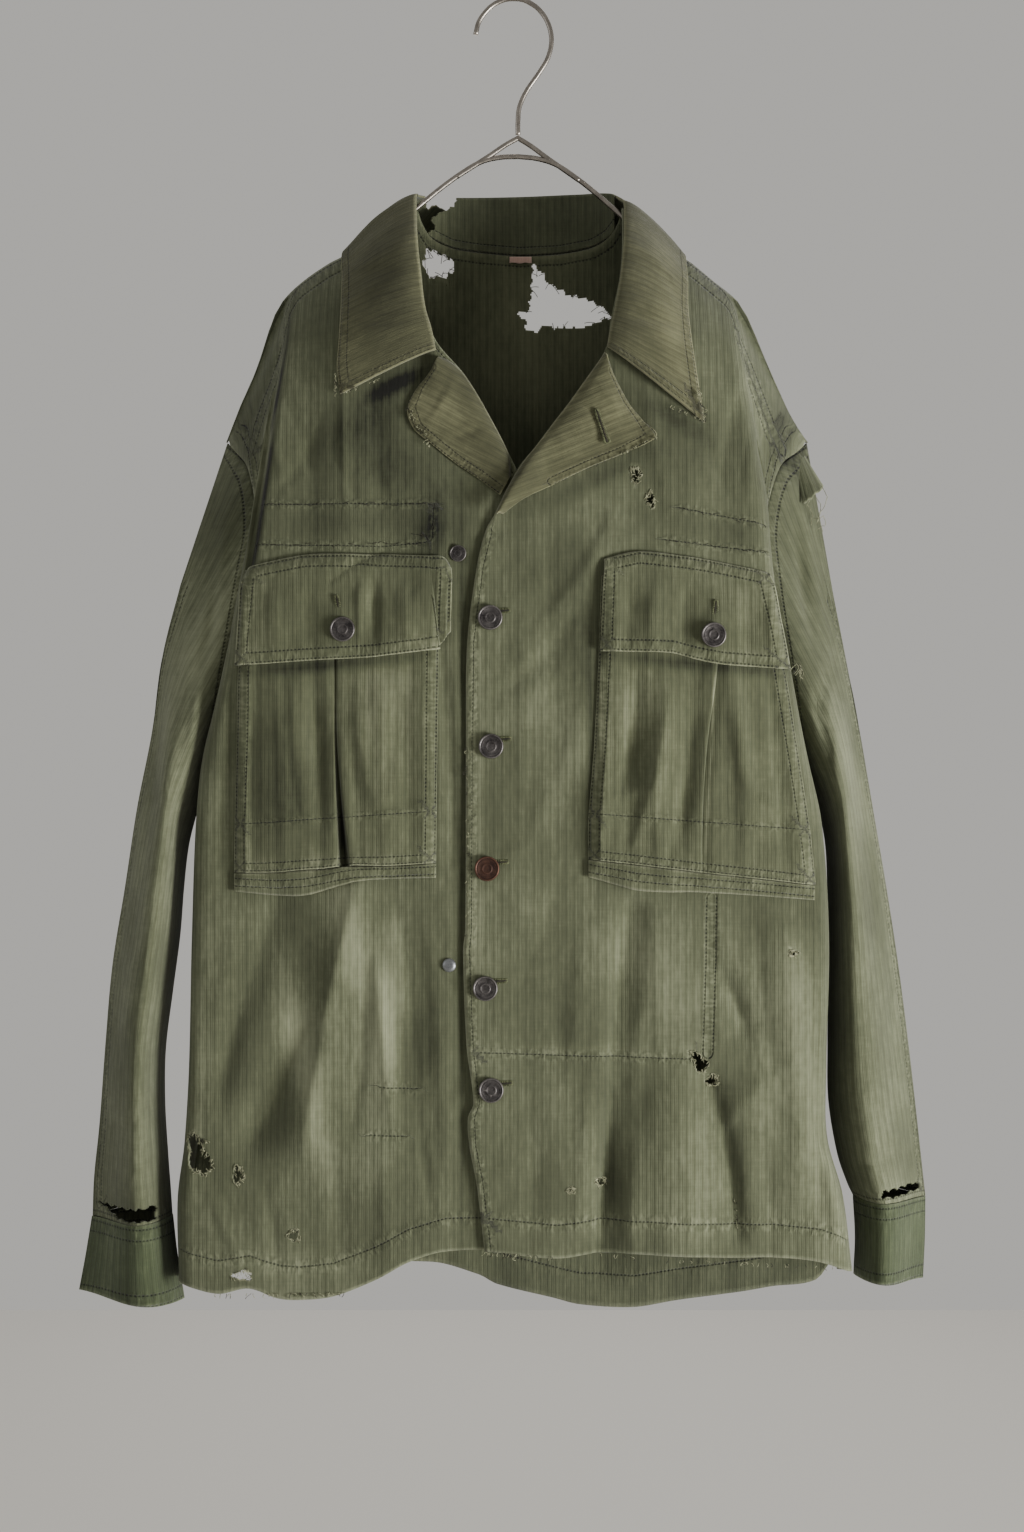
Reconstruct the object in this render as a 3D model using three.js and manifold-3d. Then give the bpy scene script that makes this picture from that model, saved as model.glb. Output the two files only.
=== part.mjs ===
import * as THREE from 'three';
import { mergeVertices } from 'three/addons/utils/BufferGeometryUtils.js';
import Module from 'manifold-3d';

// A worn field jacket of herringbone twill, hanging open-necked on a wire hanger.
// Millimetres, +Z up, the front towards -Y. Right and left are the wearer's, so right is -X.
// The origin is the inner top of the hanger's hook, where a pin or rail carries it.

// Cloth
const CLOTH = 1.8; // twill with its felled seams
const SEAM = 0.3; // hairline between two pieces at a seam
const LAP = 3.2; // how far the right front lies behind the left one
const FOLD_RADIUS = 12; // rounding where a front turns to the side

// How far the front and the back stand from the hanger's plane, and how soon below the shoulder
const FRONT_DEPTH = 58;
const FRONT_SETTLE = 45;
const BACK_DEPTH = 41;
const BACK_SETTLE = 18;
const BACK_ARMHOLE = 0.6; // depth of the armhole behind the middle, as a share of that in front
const FLATNESS = 7; // how much less deep a panel is at its sides
const HALF_WIDTH = 235;

// Buttons, rivet and wire
const BUTTON_RADIUS = 9;
const BUTTON_THICK = 3.6;
const NECK_BUTTON_RADIUS = 6;
const RIVET_RADIUS = 5;
const WIRE = 3.8;
const HANGER_MIDDLE = 3.4;

const lerp = THREE.MathUtils.lerp;
const clamp = THREE.MathUtils.clamp;

/** 0 to 1, eased, as a value goes from one place to another, up or down. */
function fade(value, from, to) {
  const t = clamp((value - from) / (to - from), 0, 1);
  return t * t * (3 - 2 * t);
}

/** Rows of numbers under named columns. */
function table(columns, rows) {
  const names = columns.split(' ');
  return rows.map((row) => Object.fromEntries(row.map((value, index) => [names[index], value])));
}

/** Value of one column, on a smooth curve through the rows, where the key column reaches a place. */
function read(rows, key, place, column) {
  const rising = rows[rows.length - 1][key] > rows[0][key];
  const passed = (row) => (rising ? row[key] <= place : row[key] >= place);
  let i = 0;
  while (i < rows.length - 2 && passed(rows[i + 1])) i += 1;
  const at = (index) => rows[clamp(index, 0, rows.length - 1)];
  const slope = (index) => {
    const before = at(index - 1);
    const after = at(index + 1);
    return (after[column] - before[column]) / (after[key] - before[key]);
  };
  const span = rows[i + 1][key] - rows[i][key];
  const t = clamp((place - rows[i][key]) / span, 0, 1);
  const from = rows[i][column];
  const to = rows[i + 1][column];
  const bend = t * t * (3 - 2 * t);
  const lift = t * (1 - t) * (1 - t) * slope(i) * span;
  const drop = t * t * (t - 1) * slope(i + 1) * span;
  return from + (to - from) * bend + lift + drop;
}

// Top line of the shoulders over the wire, right to left, drop shoulders and all
const RIDGE = table('x z', [
  [-215.5, -331], [-209, -314], [-203, -299], [-196, -284], [-190, -268], [-181, -240],
  [-173, -225], [-159, -211], [-139, -197], [-126, -190], [-100, -170], [-74, -149.5],
  [-40, -146], [3, -145], [45, -147], [81.5, -155], [100, -170], [124, -190], [135, -197.5],
  [150, -210], [168, -225], [177, -240], [189, -269], [202, -299], [209, -314], [221, -331],
]);

// Each side, from the shoulder down. fold is the line where the front turns to the side, front is
// the height that the same row has at the front edge, and side is where the panel ends: along the
// armhole down to the underarm, then along the side seam. sideY is its distance from the middle.
const HANG = {
  right: table('fold foldX front sideX sideY side', [
    [-225, -173, -149.5, -215.5, 0, -331],
    [-262, -172, -195, -207, 11, -340],
    [-300, -178, -245, -196.5, 24, -354],
    [-340, -184.5, -290, -190.5, 29, -385],
    [-375, -190, -340, -194.5, 32, -410],
    [-415, -196, -394, -199.5, 33, -440],
    [-452, -203, -440, -205.5, 32, -472],
    [-490, -210, -484, -213, 29, -507],
    [-527, -218, -525, -221, 21, -543],
    [-570, -228, -570, -228, 0, -577],
    [-616, -232.5, -616, -230, 0, -618],
    [-700, -235.5, -700, -232, 0, -700],
    [-790, -237.5, -780, -234, 0, -790],
    [-850, -241, -840, -238, 0, -850],
    [-890, -246, -875, -243, 0, -890],
    [-950, -245, -925, -243, 0, -955],
  ]),
  left: table('fold foldX front sideX sideY side', [
    [-225, 168, -155, 221, 0, -331],
    [-262, 169.5, -195, 211, 11, -340],
    [-300, 174.5, -240, 197, 24, -353],
    [-340, 179, -290, 187, 29, -385],
    [-375, 185.5, -340, 187.8, 32, -410],
    [-415, 188.5, -394, 191, 33, -440],
    [-452, 193, -440, 196.5, 32, -472],
    [-490, 200.5, -484, 203.5, 29, -507],
    [-527, 207.5, -525, 210.5, 21, -543],
    [-570, 216, -570, 217.5, 0, -577],
    [-616, 225.5, -616, 223, 0, -618],
    [-700, 231, -700, 227, 0, -700],
    [-790, 229, -780, 225, 0, -790],
    [-850, 229.5, -840, 226, 0, -850],
    [-890, 241, -875, 237, 0, -890],
    [-943, 248, -925, 244, 0, -951],
  ]),
};

// Front edge of each front: the roll of the lapel, then the buttoned edge
const EDGE = {
  right: table('z x', [
    [-149.5, -74], [-170, -72], [-195, -70], [-213, -67.5], [-242, -64], [-266, -56], [-289, -36],
    [-314, -21], [-340, -7], [-356, 1], [-375, 11], [-395, 18], [-430, 20], [-925, 20],
  ]),
  left: table('z x', [
    [-155, 81.5], [-173, 81], [-195, 80], [-218, 77.5], [-249, 71], [-271, 67], [-289, 56],
    [-314, 38], [-338, 20], [-357, 4], [-378, -7], [-394, -15], [-403, -20], [-429, -26.5],
    [-484, -33.5], [-554, -34.5], [-692, -35], [-707, -36.5], [-777, -34], [-818, -29],
    [-828, -33], [-849, -32], [-875, -27], [-925, -21],
  ]),
};

const HEM = {
  right: table('x z', [
    [-245, -950], [-215, -957], [-192, -953], [-171, -960], [-155, -961], [-130, -958],
    [-100, -946], [-76, -933], [-50, -925.5], [20, -925],
  ]),
  left: table('x z', [
    [-21, -925], [31, -930], [61, -926.5], [101, -927.5], [153, -930], [190, -930.5],
    [222, -934], [248, -943],
  ]),
  back: table('x z', [
    [-243, -955], [-64, -955], [-26, -965], [-13, -972], [31, -983], [51, -988], [92, -990],
    [124, -984.5], [175, -977], [197, -973], [232, -967], [244, -951],
  ]),
};
const HEM_REACH = 240; // how far above the hem its waves still show

// Neckline of the back, between the two shoulder seams
const NECK = table('x z', [
  [-74, -149.5], [-70, -160], [-63, -170], [-47, -177], [-26, -180], [5, -182.5], [36, -181],
  [60, -177], [72, -171], [79, -163], [81.5, -155],
]);

// Main folds that hang in the cloth: a trough where the depth is below 0, a ridge above it
const FOLDS = {
  front: table('x z endX endZ width depth', [
    [-115, -666, -151, -838, 15, 5],
    [-99, -723, -90, -818, 10, 3],
    [-153, -770, -188, -843, 15, -6],
    [-172, -672, -212, -798, 18, -4],
    [-75, -690, -60, -860, 20, -3],
    [86, -680, 66, -920, 11, -6],
    [113, -820, 116, -915, 22, 5],
    [143, -806, 161, -910, 10, -4],
    [152, -730, 166, -762, 11, -4],
    [196, -700, 205, -880, 16, 3],
    [-128, -262, -118, -405, 18, 3],
    [128, -262, 125, -405, 18, 3],
  ]),
  back: table('x z endX endZ width depth', [
    [-120, -250, -150, -560, 26, 4],
    [118, -255, 152, -570, 24, 4],
    [-60, -420, -95, -900, 22, -5],
    [30, -480, 70, -940, 24, 6],
    [140, -600, 172, -930, 20, -5],
    [-165, -640, -190, -910, 20, 5],
  ]),
};

/** Sum of the folds at a place on a panel, fading out at each fold's ends. */
function foldsAt(folds, x, z) {
  return folds.reduce((sum, fold) => {
    const run = fold.endX - fold.x;
    const fall = fold.endZ - fold.z;
    const t = clamp(((x - fold.x) * run + (z - fold.z) * fall) / (run * run + fall * fall), 0, 1);
    const off = Math.hypot(x - fold.x - t * run, z - fold.z - t * fall);
    return sum + fold.depth * Math.exp(-((off / fold.width) ** 2));
  }, 0);
}

const ridgeAt = (x) => read(RIDGE, 'x', clamp(x, -215.5, 221), 'z');
const sideOf = (x) => (x < 0 ? 'right' : 'left');
const foldXAt = (side, z) => read(HANG[side], 'fold', clamp(z, -943, -225), 'foldX');

/** How far the cloth draws back where it rounds into the side fold. */
function rounding(x, z) {
  const past = Math.abs(x) - (Math.abs(foldXAt(sideOf(x), z)) - FOLD_RADIUS);
  const turn = clamp(past, 0, FOLD_RADIUS);
  return FOLD_RADIUS - Math.sqrt(FOLD_RADIUS ** 2 - turn ** 2);
}

/** Depth of the front's outer face at a place, before it is lapped. */
function frontY(x, z) {
  const below = Math.max(ridgeAt(x) - z, 0);
  const settled = 1 - Math.exp(-below / FRONT_SETTLE);
  const flat = FRONT_DEPTH - FLATNESS * (x / HALF_WIDTH) ** 2 + foldsAt(FOLDS.front, x, z);
  return Math.min(-(flat * settled) + rounding(x, z), -0.5 * SEAM - 0.05 * below);
}

/** Depth of the back's outer face at a place. */
function backY(x, z) {
  const below = Math.max(ridgeAt(x) - z, 0);
  const settled = 1 - Math.exp(-below / BACK_SETTLE);
  const flat = BACK_DEPTH - FLATNESS * (x / HALF_WIDTH) ** 2 + foldsAt(FOLDS.back, x, z);
  return Math.max(flat * settled - rounding(x, z), 0.5 * SEAM + 0.05 * below);
}

/** The right front lies behind the left one where they lap. */
const lapAt = (side, x) => (side === 'right' ? LAP * fade(x, -62, -30) : 0);

/** A point moved out from a front's outer face, square to it. */
function onFront(side, x, z, lift) {
  const step = 2;
  const y = frontY(x, z) + lapAt(side, x);
  const across = (frontY(x + step, z) - frontY(x - step, z)) / (2 * step);
  const along = (frontY(x, z + step) - frontY(x, z - step)) / (2 * step);
  const normal = new THREE.Vector3(across, -1, along).normalize();
  return new THREE.Vector3(x, y, z).addScaledVector(normal, lift);
}

/** Outward directions of a grid of points, from its neighbours. */
function gridNormals(grid, facing) {
  const last = grid.length - 1;
  const end = grid[0].length - 1;
  return grid.map((row, i) => row.map((point, j) => {
    const along = grid[Math.min(i + 1, last)][j].clone().sub(grid[Math.max(i - 1, 0)][j]);
    const across = row[Math.min(j + 1, end)].clone().sub(row[Math.max(j - 1, 0)]);
    return along.cross(across).multiplyScalar(facing).normalize();
  }));
}

/** Solid between a grid of outer points and a grid of inner ones, closed round its rim. */
function solidBetween(outer, inner, facing) {
  const rows = outer.length;
  const columns = outer[0].length;
  const positions = [outer, inner].flatMap((grid) => grid.flat().flatMap((p) => [p.x, p.y, p.z]));
  const index = [];
  const shell = rows * columns;
  const quad = (a, b, c, d) => {
    index.push(...(facing > 0 ? [a, c, b, a, d, c] : [a, b, c, a, c, d]));
  };
  for (let i = 0; i < rows - 1; i += 1) {
    for (let j = 0; j < columns - 1; j += 1) {
      const a = i * columns + j;
      quad(a, a + 1, a + columns + 1, a + columns);
      quad(shell + a, shell + a + columns, shell + a + columns + 1, shell + a + 1);
    }
  }
  const bottom = (rows - 1) * columns;
  for (let j = 0; j < columns - 1; j += 1) {
    quad(j, shell + j, shell + j + 1, j + 1);
    quad(bottom + j, bottom + j + 1, shell + bottom + j + 1, shell + bottom + j);
  }
  for (let i = 0; i < rows - 1; i += 1) {
    const a = i * columns;
    const b = a + columns - 1;
    quad(a, a + columns, shell + a + columns, shell + a);
    quad(b, shell + b, shell + b + columns, b + columns);
  }
  const geometry = new THREE.BufferGeometry();
  geometry.setAttribute('position', new THREE.Float32BufferAttribute(positions, 3));
  geometry.setIndex(index);
  return geometry;
}

/** Cloth wall on a grid of outer points. level(i, j) says where its end face stays square to Y. */
function clothWall(grid, facing, level = () => false, thickness = CLOTH) {
  const normals = gridNormals(grid, facing);
  const inner = grid.map((row, i) => row.map((point, j) => {
    const normal = normals[i][j];
    if (level(i, j)) normal.setY(0).normalize();
    return point.clone().addScaledVector(normal, -thickness);
  }));
  return solidBetween(grid, inner, facing);
}

/** Closed tube wall round a hollow, from rings of points. facing tells which way they run round. */
function tubeWall(rings, facing, thickness = CLOTH) {
  const count = rings[0].length;
  const last = rings.length - 1;
  const inner = rings.map((ring, i) => ring.map((point, j) => {
    const along = rings[Math.min(i + 1, last)][j].clone().sub(rings[Math.max(i - 1, 0)][j]);
    const round = ring[(j + 1) % count].clone().sub(ring[(j + count - 1) % count]);
    const inward = along.cross(round).normalize();
    const middle = ring.reduce((sum, p) => sum.add(p), new THREE.Vector3()).divideScalar(count);
    if (inward.dot(middle.sub(point)) < 0) inward.negate();
    return point.clone().addScaledVector(inward, thickness);
  }));
  const loops = [...rings, ...inner.reverse()];
  const positions = loops.flat().flatMap((p) => [p.x, p.y, p.z]);
  const index = [];
  loops.forEach((loop, i) => {
    const next = (i + 1) % loops.length;
    for (let j = 0; j < count; j += 1) {
      const k = (j + 1) % count;
      const a = i * count + j;
      const b = i * count + k;
      const c = next * count + k;
      const d = next * count + j;
      index.push(...(facing > 0 ? [a, b, c, a, c, d] : [a, c, b, a, d, c]));
    }
  });
  const geometry = new THREE.BufferGeometry();
  geometry.setAttribute('position', new THREE.Float32BufferAttribute(positions, 3));
  geometry.setIndex(index);
  return geometry;
}

const wasm = await Module();
wasm.setup();

/** A closed geometry as a manifold solid. */
function toSolid(geometry) {
  const bare = geometry.clone();
  bare.deleteAttribute('normal');
  bare.deleteAttribute('uv');
  const merged = mergeVertices(bare, 1e-4);
  return new wasm.Manifold(new wasm.Mesh({
    numProp: 3,
    vertProperties: new Float32Array(merged.attributes.position.array),
    triVerts: new Uint32Array(merged.index.array),
  }));
}

/** A manifold solid as a geometry. */
function toGeometry(solid) {
  const mesh = solid.getMesh();
  const geometry = new THREE.BufferGeometry();
  geometry.setAttribute('position', new THREE.Float32BufferAttribute(mesh.vertProperties, 3));
  geometry.setIndex([...mesh.triVerts]);
  return geometry;
}

/** Prism through the cloth from front to back, over an outline of x and z. */
function prism(outline, nearY, farY) {
  const shape = new THREE.Shape(outline.map((p) => new THREE.Vector2(p.x, p.z)));
  const geometry = new THREE.ExtrudeGeometry(shape, { depth: farY - nearY, bevelEnabled: false });
  geometry.rotateX(Math.PI / 2);
  geometry.translate(0, farY, 0);
  return geometry;
}

/** Uneven round outline of a worn hole. */
function wornOutline(hole, points = 10) {
  return Array.from({ length: points }, (_, i) => {
    const a = (2 * Math.PI * i) / points;
    const wear = 1 + 0.16 * Math.sin(3 * a + hole.x) + 0.1 * Math.sin(5 * a + hole.z);
    const across = (hole.wide / 2) * wear * Math.cos(a);
    const up = (hole.tall / 2) * wear * Math.sin(a);
    const turn = THREE.MathUtils.degToRad(hole.turn);
    return {
      x: hole.x + across * Math.cos(turn) - up * Math.sin(turn),
      z: hole.z + across * Math.sin(turn) + up * Math.cos(turn),
    };
  });
}

/** A geometry with prisms over each outline taken out. */
function cutThrough(geometry, outlines, nearY, farY) {
  const solid = outlines.reduce(
    (left, outline) => left.subtract(toSolid(prism(outline, nearY, farY))),
    toSolid(geometry),
  );
  return toGeometry(solid);
}

// Finishes
const twill = (colour) => new THREE.MeshStandardMaterial({ color: colour, roughness: 0.92, metalness: 0 });
const FINISH = {
  twill: twill('#6f7657'),
  cuff: twill('#5c6a45'),
  inside: twill('#56603f'),
  label: new THREE.MeshStandardMaterial({ color: '#c9a896', roughness: 0.9, metalness: 0 }),
  button: new THREE.MeshStandardMaterial({ color: '#3a3638', roughness: 0.5, metalness: 0.85 }),
  rivet: new THREE.MeshStandardMaterial({ color: '#8e9296', roughness: 0.45, metalness: 0.9 }),
  wire: new THREE.MeshStandardMaterial({ color: '#a7a39c', roughness: 0.3, metalness: 1 }),
};

const jacket = new THREE.Group();

/** Adds one named piece. */
function add(name, geometry, finish) {
  const mesh = new THREE.Mesh(geometry, finish);
  mesh.name = name;
  jacket.add(mesh);
  return mesh;
}

// Body rows run from the shoulder to the hem, closer together at the top
const BODY_ROWS = 22;
const FRONT_COLUMNS = 10;
const BACK_COLUMNS = 7;
const TURN_COLUMNS = 3;
const SIDE_COLUMNS = 2;
const SHOULDER_REACH = 110; // how far below the shoulder its line still shows in the rows

/** Share of the way down that a body row lies at. */
const rowShare = (i) => 0.7 * (i / BODY_ROWS) + 0.3 * (i / BODY_ROWS) ** 2;
const rowCount = Array.from({ length: BODY_ROWS + 1 }, (_, i) => i);

/** Places across a panel from its start to the side fold, with the turn at the end. */
function placesAcross(side, start, fold, columns) {
  const hand = side === 'right' ? -1 : 1;
  const flat = foldXAt(side, fold) - hand * FOLD_RADIUS;
  const places = Array.from({ length: columns + 1 }, (_, j) => lerp(start, flat, j / columns));
  for (let j = 1; j <= TURN_COLUMNS; j += 1) {
    places.push(flat + hand * FOLD_RADIUS * Math.sin((j / TURN_COLUMNS) * (Math.PI / 2)));
  }
  return places;
}

/** Depth at which a panel ends at its side. The back's armhole is the shallower one. */
function sideY(side, key, place, face) {
  const away = read(HANG[side], key, place, 'sideY') * (face < 0 ? 1 : BACK_ARMHOLE);
  return face * Math.max(away, 0.5 * SEAM);
}

/** Points of a panel from its side fold to the armhole or side seam. */
function sideRun(side, fold, from, face) {
  const rows = HANG[side];
  const end = new THREE.Vector3(
    read(rows, 'fold', fold, 'sideX'),
    sideY(side, 'fold', fold, face),
    read(rows, 'fold', fold, 'side'),
  );
  return Array.from({ length: SIDE_COLUMNS }, (_, k) => from.clone().lerp(end, (k + 1) / SIDE_COLUMNS));
}

/** Outer points of one side of a panel. top, hem and depth give its upper line, hem and face. */
function panelGrid(side, { columns, startX, startZ, top, hem, depth, face }) {
  const rows = HANG[side];
  const first = rows[0];
  const last = rows[rows.length - 1];
  return rowCount.map((i) => {
    const fold = lerp(first.fold, last.fold, rowShare(i));
    const z0 = startZ(rowShare(i), fold);
    const x0 = startX(z0);
    const row = placesAcross(side, x0, fold, columns).map((x) => {
      const share = clamp((x - x0) / (foldXAt(side, fold) - x0), 0, 1);
      const onTop = lerp(startZ(0, first.fold), first.fold, share);
      const onHem = lerp(startZ(1, last.fold), last.fold, share);
      const shoulder = (top(x) - onTop) * clamp(1 - (first.fold - fold) / SHOULDER_REACH, 0, 1);
      const waves = (read(hem, 'x', x, 'z') - onHem) * fade(fold, last.fold + HEM_REACH, last.fold);
      const z = i === 0 ? top(x) : lerp(z0, fold, share) + shoulder + waves;
      return new THREE.Vector3(x, depth(x, z), z);
    });
    const run = sideRun(side, fold, row[row.length - 1], face);
    if (i === 0) {
      run.forEach((point) => point.set(point.x, face * 0.5 * SEAM, ridgeAt(point.x)));
    }
    return [...row, ...run];
  });
}

/** Outer points of one front, from its front edge round to its armhole and side seam. */
function frontGrid(side) {
  return panelGrid(side, {
    columns: FRONT_COLUMNS,
    startX: (z) => read(EDGE[side], 'z', z, 'x'),
    startZ: (share, fold) => read(HANG[side], 'fold', fold, 'front'),
    top: ridgeAt,
    hem: HEM[side],
    depth: (x, z) => frontY(x, z) + (z < ridgeAt(x) ? lapAt(side, x) : 0),
    face: -1,
  });
}

/** Outer points of the back, from the right side across to the left one. */
function backGrid() {
  const middle = 3;
  const neck = (x) => (x > NECK[0].x && x < NECK[NECK.length - 1].x ? read(NECK, 'x', x, 'z') : ridgeAt(x));
  const [right, left] = ['right', 'left'].map((side) => panelGrid(side, {
    columns: BACK_COLUMNS,
    startX: () => middle,
    startZ: (share) => lerp(neck(middle), read(HEM.back, 'x', middle, 'z'), share),
    top: neck,
    hem: HEM.back,
    depth: backY,
    face: 1,
  }));
  return right.map((row, i) => [...row.slice(1).reverse(), ...left[i]]);
}

// Holes worn through the cloth, centre and size, and the turn of each in degrees
const HOLES = {
  front_right: table('x z wide tall turn', [
    [-229, -857, 15, 32, 20], [-199.6, -870.5, 8, 14, 0], [-159.2, -913.8, 9, 9, 0],
    [-196.7, -943.5, 14, 7, 0],
  ]),
  front_left: table('x z wide tall turn', [
    [88.4, -363, 8, 12, 0], [99.2, -381, 6, 12, 10], [202.5, -709.5, 7, 4.5, 0],
    [134.6, -788.2, 9, 17, 32], [144.4, -801.9, 10, 8, 40], [41.5, -880.6, 6, 5, 0],
    [63.1, -875.6, 8, 6, 0],
  ]),
};
const BACK_HOLES = [
  table('x z', [
    [15, -188], [21.2, -194.5], [27.3, -203], [42.7, -211.4], [61.9, -216.8], [71.1, -224],
    [75.7, -229], [61.9, -233], [54.2, -236.7], [36.5, -237.5], [23.5, -235.6], [17.3, -240.6],
    [9.6, -238.3], [8.9, -230.6], [2, -226], [12, -222.9], [13.5, -211.4],
  ]),
  table('x z', [
    [-62, -179], [-47.2, -185], [-45.6, -188.4], [-47.2, -196], [-57.1, -199.1], [-64.8, -198.4],
    [-69.4, -190.7], [-68, -182],
  ]),
];

const NECK_COLUMNS = 3; // columns of the back on each side of the middle that end at the neckline

/** Adds the back and the two fronts, with what is worn through them. */
function addBody() {
  const backEnd = 2 * (BACK_COLUMNS + TURN_COLUMNS + SIDE_COLUMNS);
  const back = clothWall(backGrid(), -1, (i, j) => (
    (i === 0 && Math.abs(j - backEnd / 2) > NECK_COLUMNS) || j === 0 || j === backEnd));
  add('back', cutThrough(back, BACK_HOLES, 8, 80), FINISH.inside);
  const frontEnd = FRONT_COLUMNS + TURN_COLUMNS + SIDE_COLUMNS;
  ['right', 'left'].forEach((side) => {
    const facing = side === 'right' ? -1 : 1;
    const front = clothWall(frontGrid(side), facing, (i, j) => i === 0 || j === frontEnd);
    const holes = HOLES[`front_${side}`].map((hole) => wornOutline(hole));
    add(`front_${side}`, cutThrough(front, holes, -90, -25), FINISH.twill);
  });
}

// Sleeve rings from the shoulder to the cuff seam. out is the silhouette side, in the body side;
// bow pulls the ring's middle towards the body, front and back are its depths there.
const SLEEVES = {
  right: table('outX outZ inX inZ bow front back', [
    [-249, -438, -238.5, -613, 4, -45, 34],
    [-262, -490, -243, -636, 0, -51, 38],
    [-270, -548, -246.5, -668, 0, -56, 41],
    [-281, -605, -249, -702, 0, -59, 42],
    [-290, -665, -254, -742, 0, -60, 41],
    [-299, -722, -259, -784, 0, -60, 39],
    [-304, -780, -259.5, -824, 0, -59, 36],
    [-308, -838, -257, -862, 0, -57, 31],
    [-312, -878, -255, -887, 0, -55, 28],
    [-313, -908, -253.5, -907, 0, -53, 24],
  ]),
  left: table('outX outZ inX inZ bow front back', [
    [240, -447, 231, -613, 4, -39, 34],
    [250, -498, 234, -636, 0, -42, 38],
    [260, -550, 235.5, -668, 0, -44, 41],
    [269, -602, 236, -702, 0, -45, 43],
    [279, -660, 236, -742, 0, -45, 44],
    [288, -718, 235.5, -784, 0, -44, 43],
    [296, -780, 236, -824, 0, -43, 41],
    [302, -835, 242, -862, 0, -42, 37],
    [306, -875, 249, -884, 0, -41, 32],
    [308, -895, 253.5, -894, 0, -40, 28],
  ]),
};
const CUFFS = {
  right: table('outX outZ inX inZ bow front back', [
    [-313.5, -908.4, -253, -907.4, 0, -53, 24],
    [-318, -936, -249.5, -938, 0, -52, 23],
    [-323, -963, -244.5, -969, 0, -51, 22],
  ]),
  left: table('outX outZ inX inZ bow front back', [
    [308, -895.4, 253.5, -894.4, 0, -40, 28],
    [307.5, -925, 255, -924, 0, -40, 27],
    [306, -956, 254, -953, 0, -40, 26],
  ]),
};
const HALF_STEPS = 8;
const SLEEVE_HEAD = [0, 0.25, 0.58]; // steps from the armhole to the first ring
const FRONT_LEAN = 1.7; // brings a sleeve's front crease towards the body
const RING_SQUARE = 0.75; // below 1, a ring is squarer than an ellipse

/** Point of a ring at a share of the way from its outer to its inner side, on one face. */
function ringPoint(ring, share, face) {
  const c = (1 - Math.cos(Math.PI * share)) / 2;
  const seamY = (ring.front + ring.back) / 2;
  const lean = face < 0 ? c ** FRONT_LEAN : c;
  const reach = Math.sin(Math.PI * lean) ** RING_SQUARE;
  const toBody = -Math.sign(ring.outX) * ring.bow * Math.sin(Math.PI * share);
  const edge = face < 0 ? ring.front : ring.back;
  return new THREE.Vector3(
    lerp(ring.outX, ring.inX, c) + toBody,
    seamY + (edge - seamY) * reach + face * 0.5 * SEAM,
    lerp(ring.outZ, ring.inZ, c),
  );
}

/** Point of the armhole at the same share, a hairline outside the body's edge. */
function armholePoint(side, share, face) {
  const rows = HANG[side];
  const c = (1 - Math.cos(Math.PI * share)) / 2;
  const underarm = rows[9].side;
  const z = lerp(rows[0].side, underarm, c);
  const hand = side === 'right' ? -1 : 1;
  const onTop = fade(z, -356, rows[0].side);
  return new THREE.Vector3(
    read(rows, 'side', z, 'sideX') + hand * lerp(0.9, 0.5, onTop),
    sideY(side, 'side', z, face),
    z - 0.8 * onTop,
  );
}

/** One half of a sleeve, as a grid of outer points. */
function sleeveGrid(side, face) {
  const shares = Array.from({ length: HALF_STEPS + 1 }, (_, k) => k / HALF_STEPS);
  const head = SLEEVE_HEAD.map((reach) => shares.map((share) => (
    armholePoint(side, share, face).lerp(ringPoint(SLEEVES[side][0], share, face), reach))));
  return [...head, ...SLEEVES[side].map((ring) => shares.map((share) => ringPoint(ring, share, face)))];
}

const SLEEVE_RIPS = {
  right: [table('x z', [[-309, -897], [-262, -895], [-261, -905], [-284, -905.5], [-292, -904.5]])],
  left: [
    table('x z', [[270, -885], [300, -884], [303, -889], [284, -891], [268, -889.5]]),
    table('x z', [[226, -371], [232, -374], [234, -385], [227, -389], [222, -381]]),
  ],
};

/** Adds both sleeves, each in a front and a back half, and their cuffs. */
function addSleeves() {
  ['right', 'left'].forEach((side) => {
    const facing = side === 'right' ? 1 : -1;
    const level = (i, j) => j === 0 || j === HALF_STEPS;
    const front = clothWall(sleeveGrid(side, -1), facing, level);
    add(`sleeve_${side}_front`, cutThrough(front, SLEEVE_RIPS[side], -90, -8), FINISH.twill);
    add(`sleeve_${side}_back`, clothWall(sleeveGrid(side, 1), -facing, level), FINISH.twill);
    const rings = CUFFS[side].map((ring) => {
      const front0 = Array.from({ length: HALF_STEPS + 1 }, (_, k) => ringPoint(ring, k / HALF_STEPS, -1));
      const back0 = Array.from({ length: HALF_STEPS - 1 }, (_, k) => (
        ringPoint(ring, 1 - (k + 1) / HALF_STEPS, 1)));
      return [...front0, ...back0];
    });
    add(`cuff_${side}`, tubeWall(rings, -facing), FINISH.cuff);
  });
}

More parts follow.
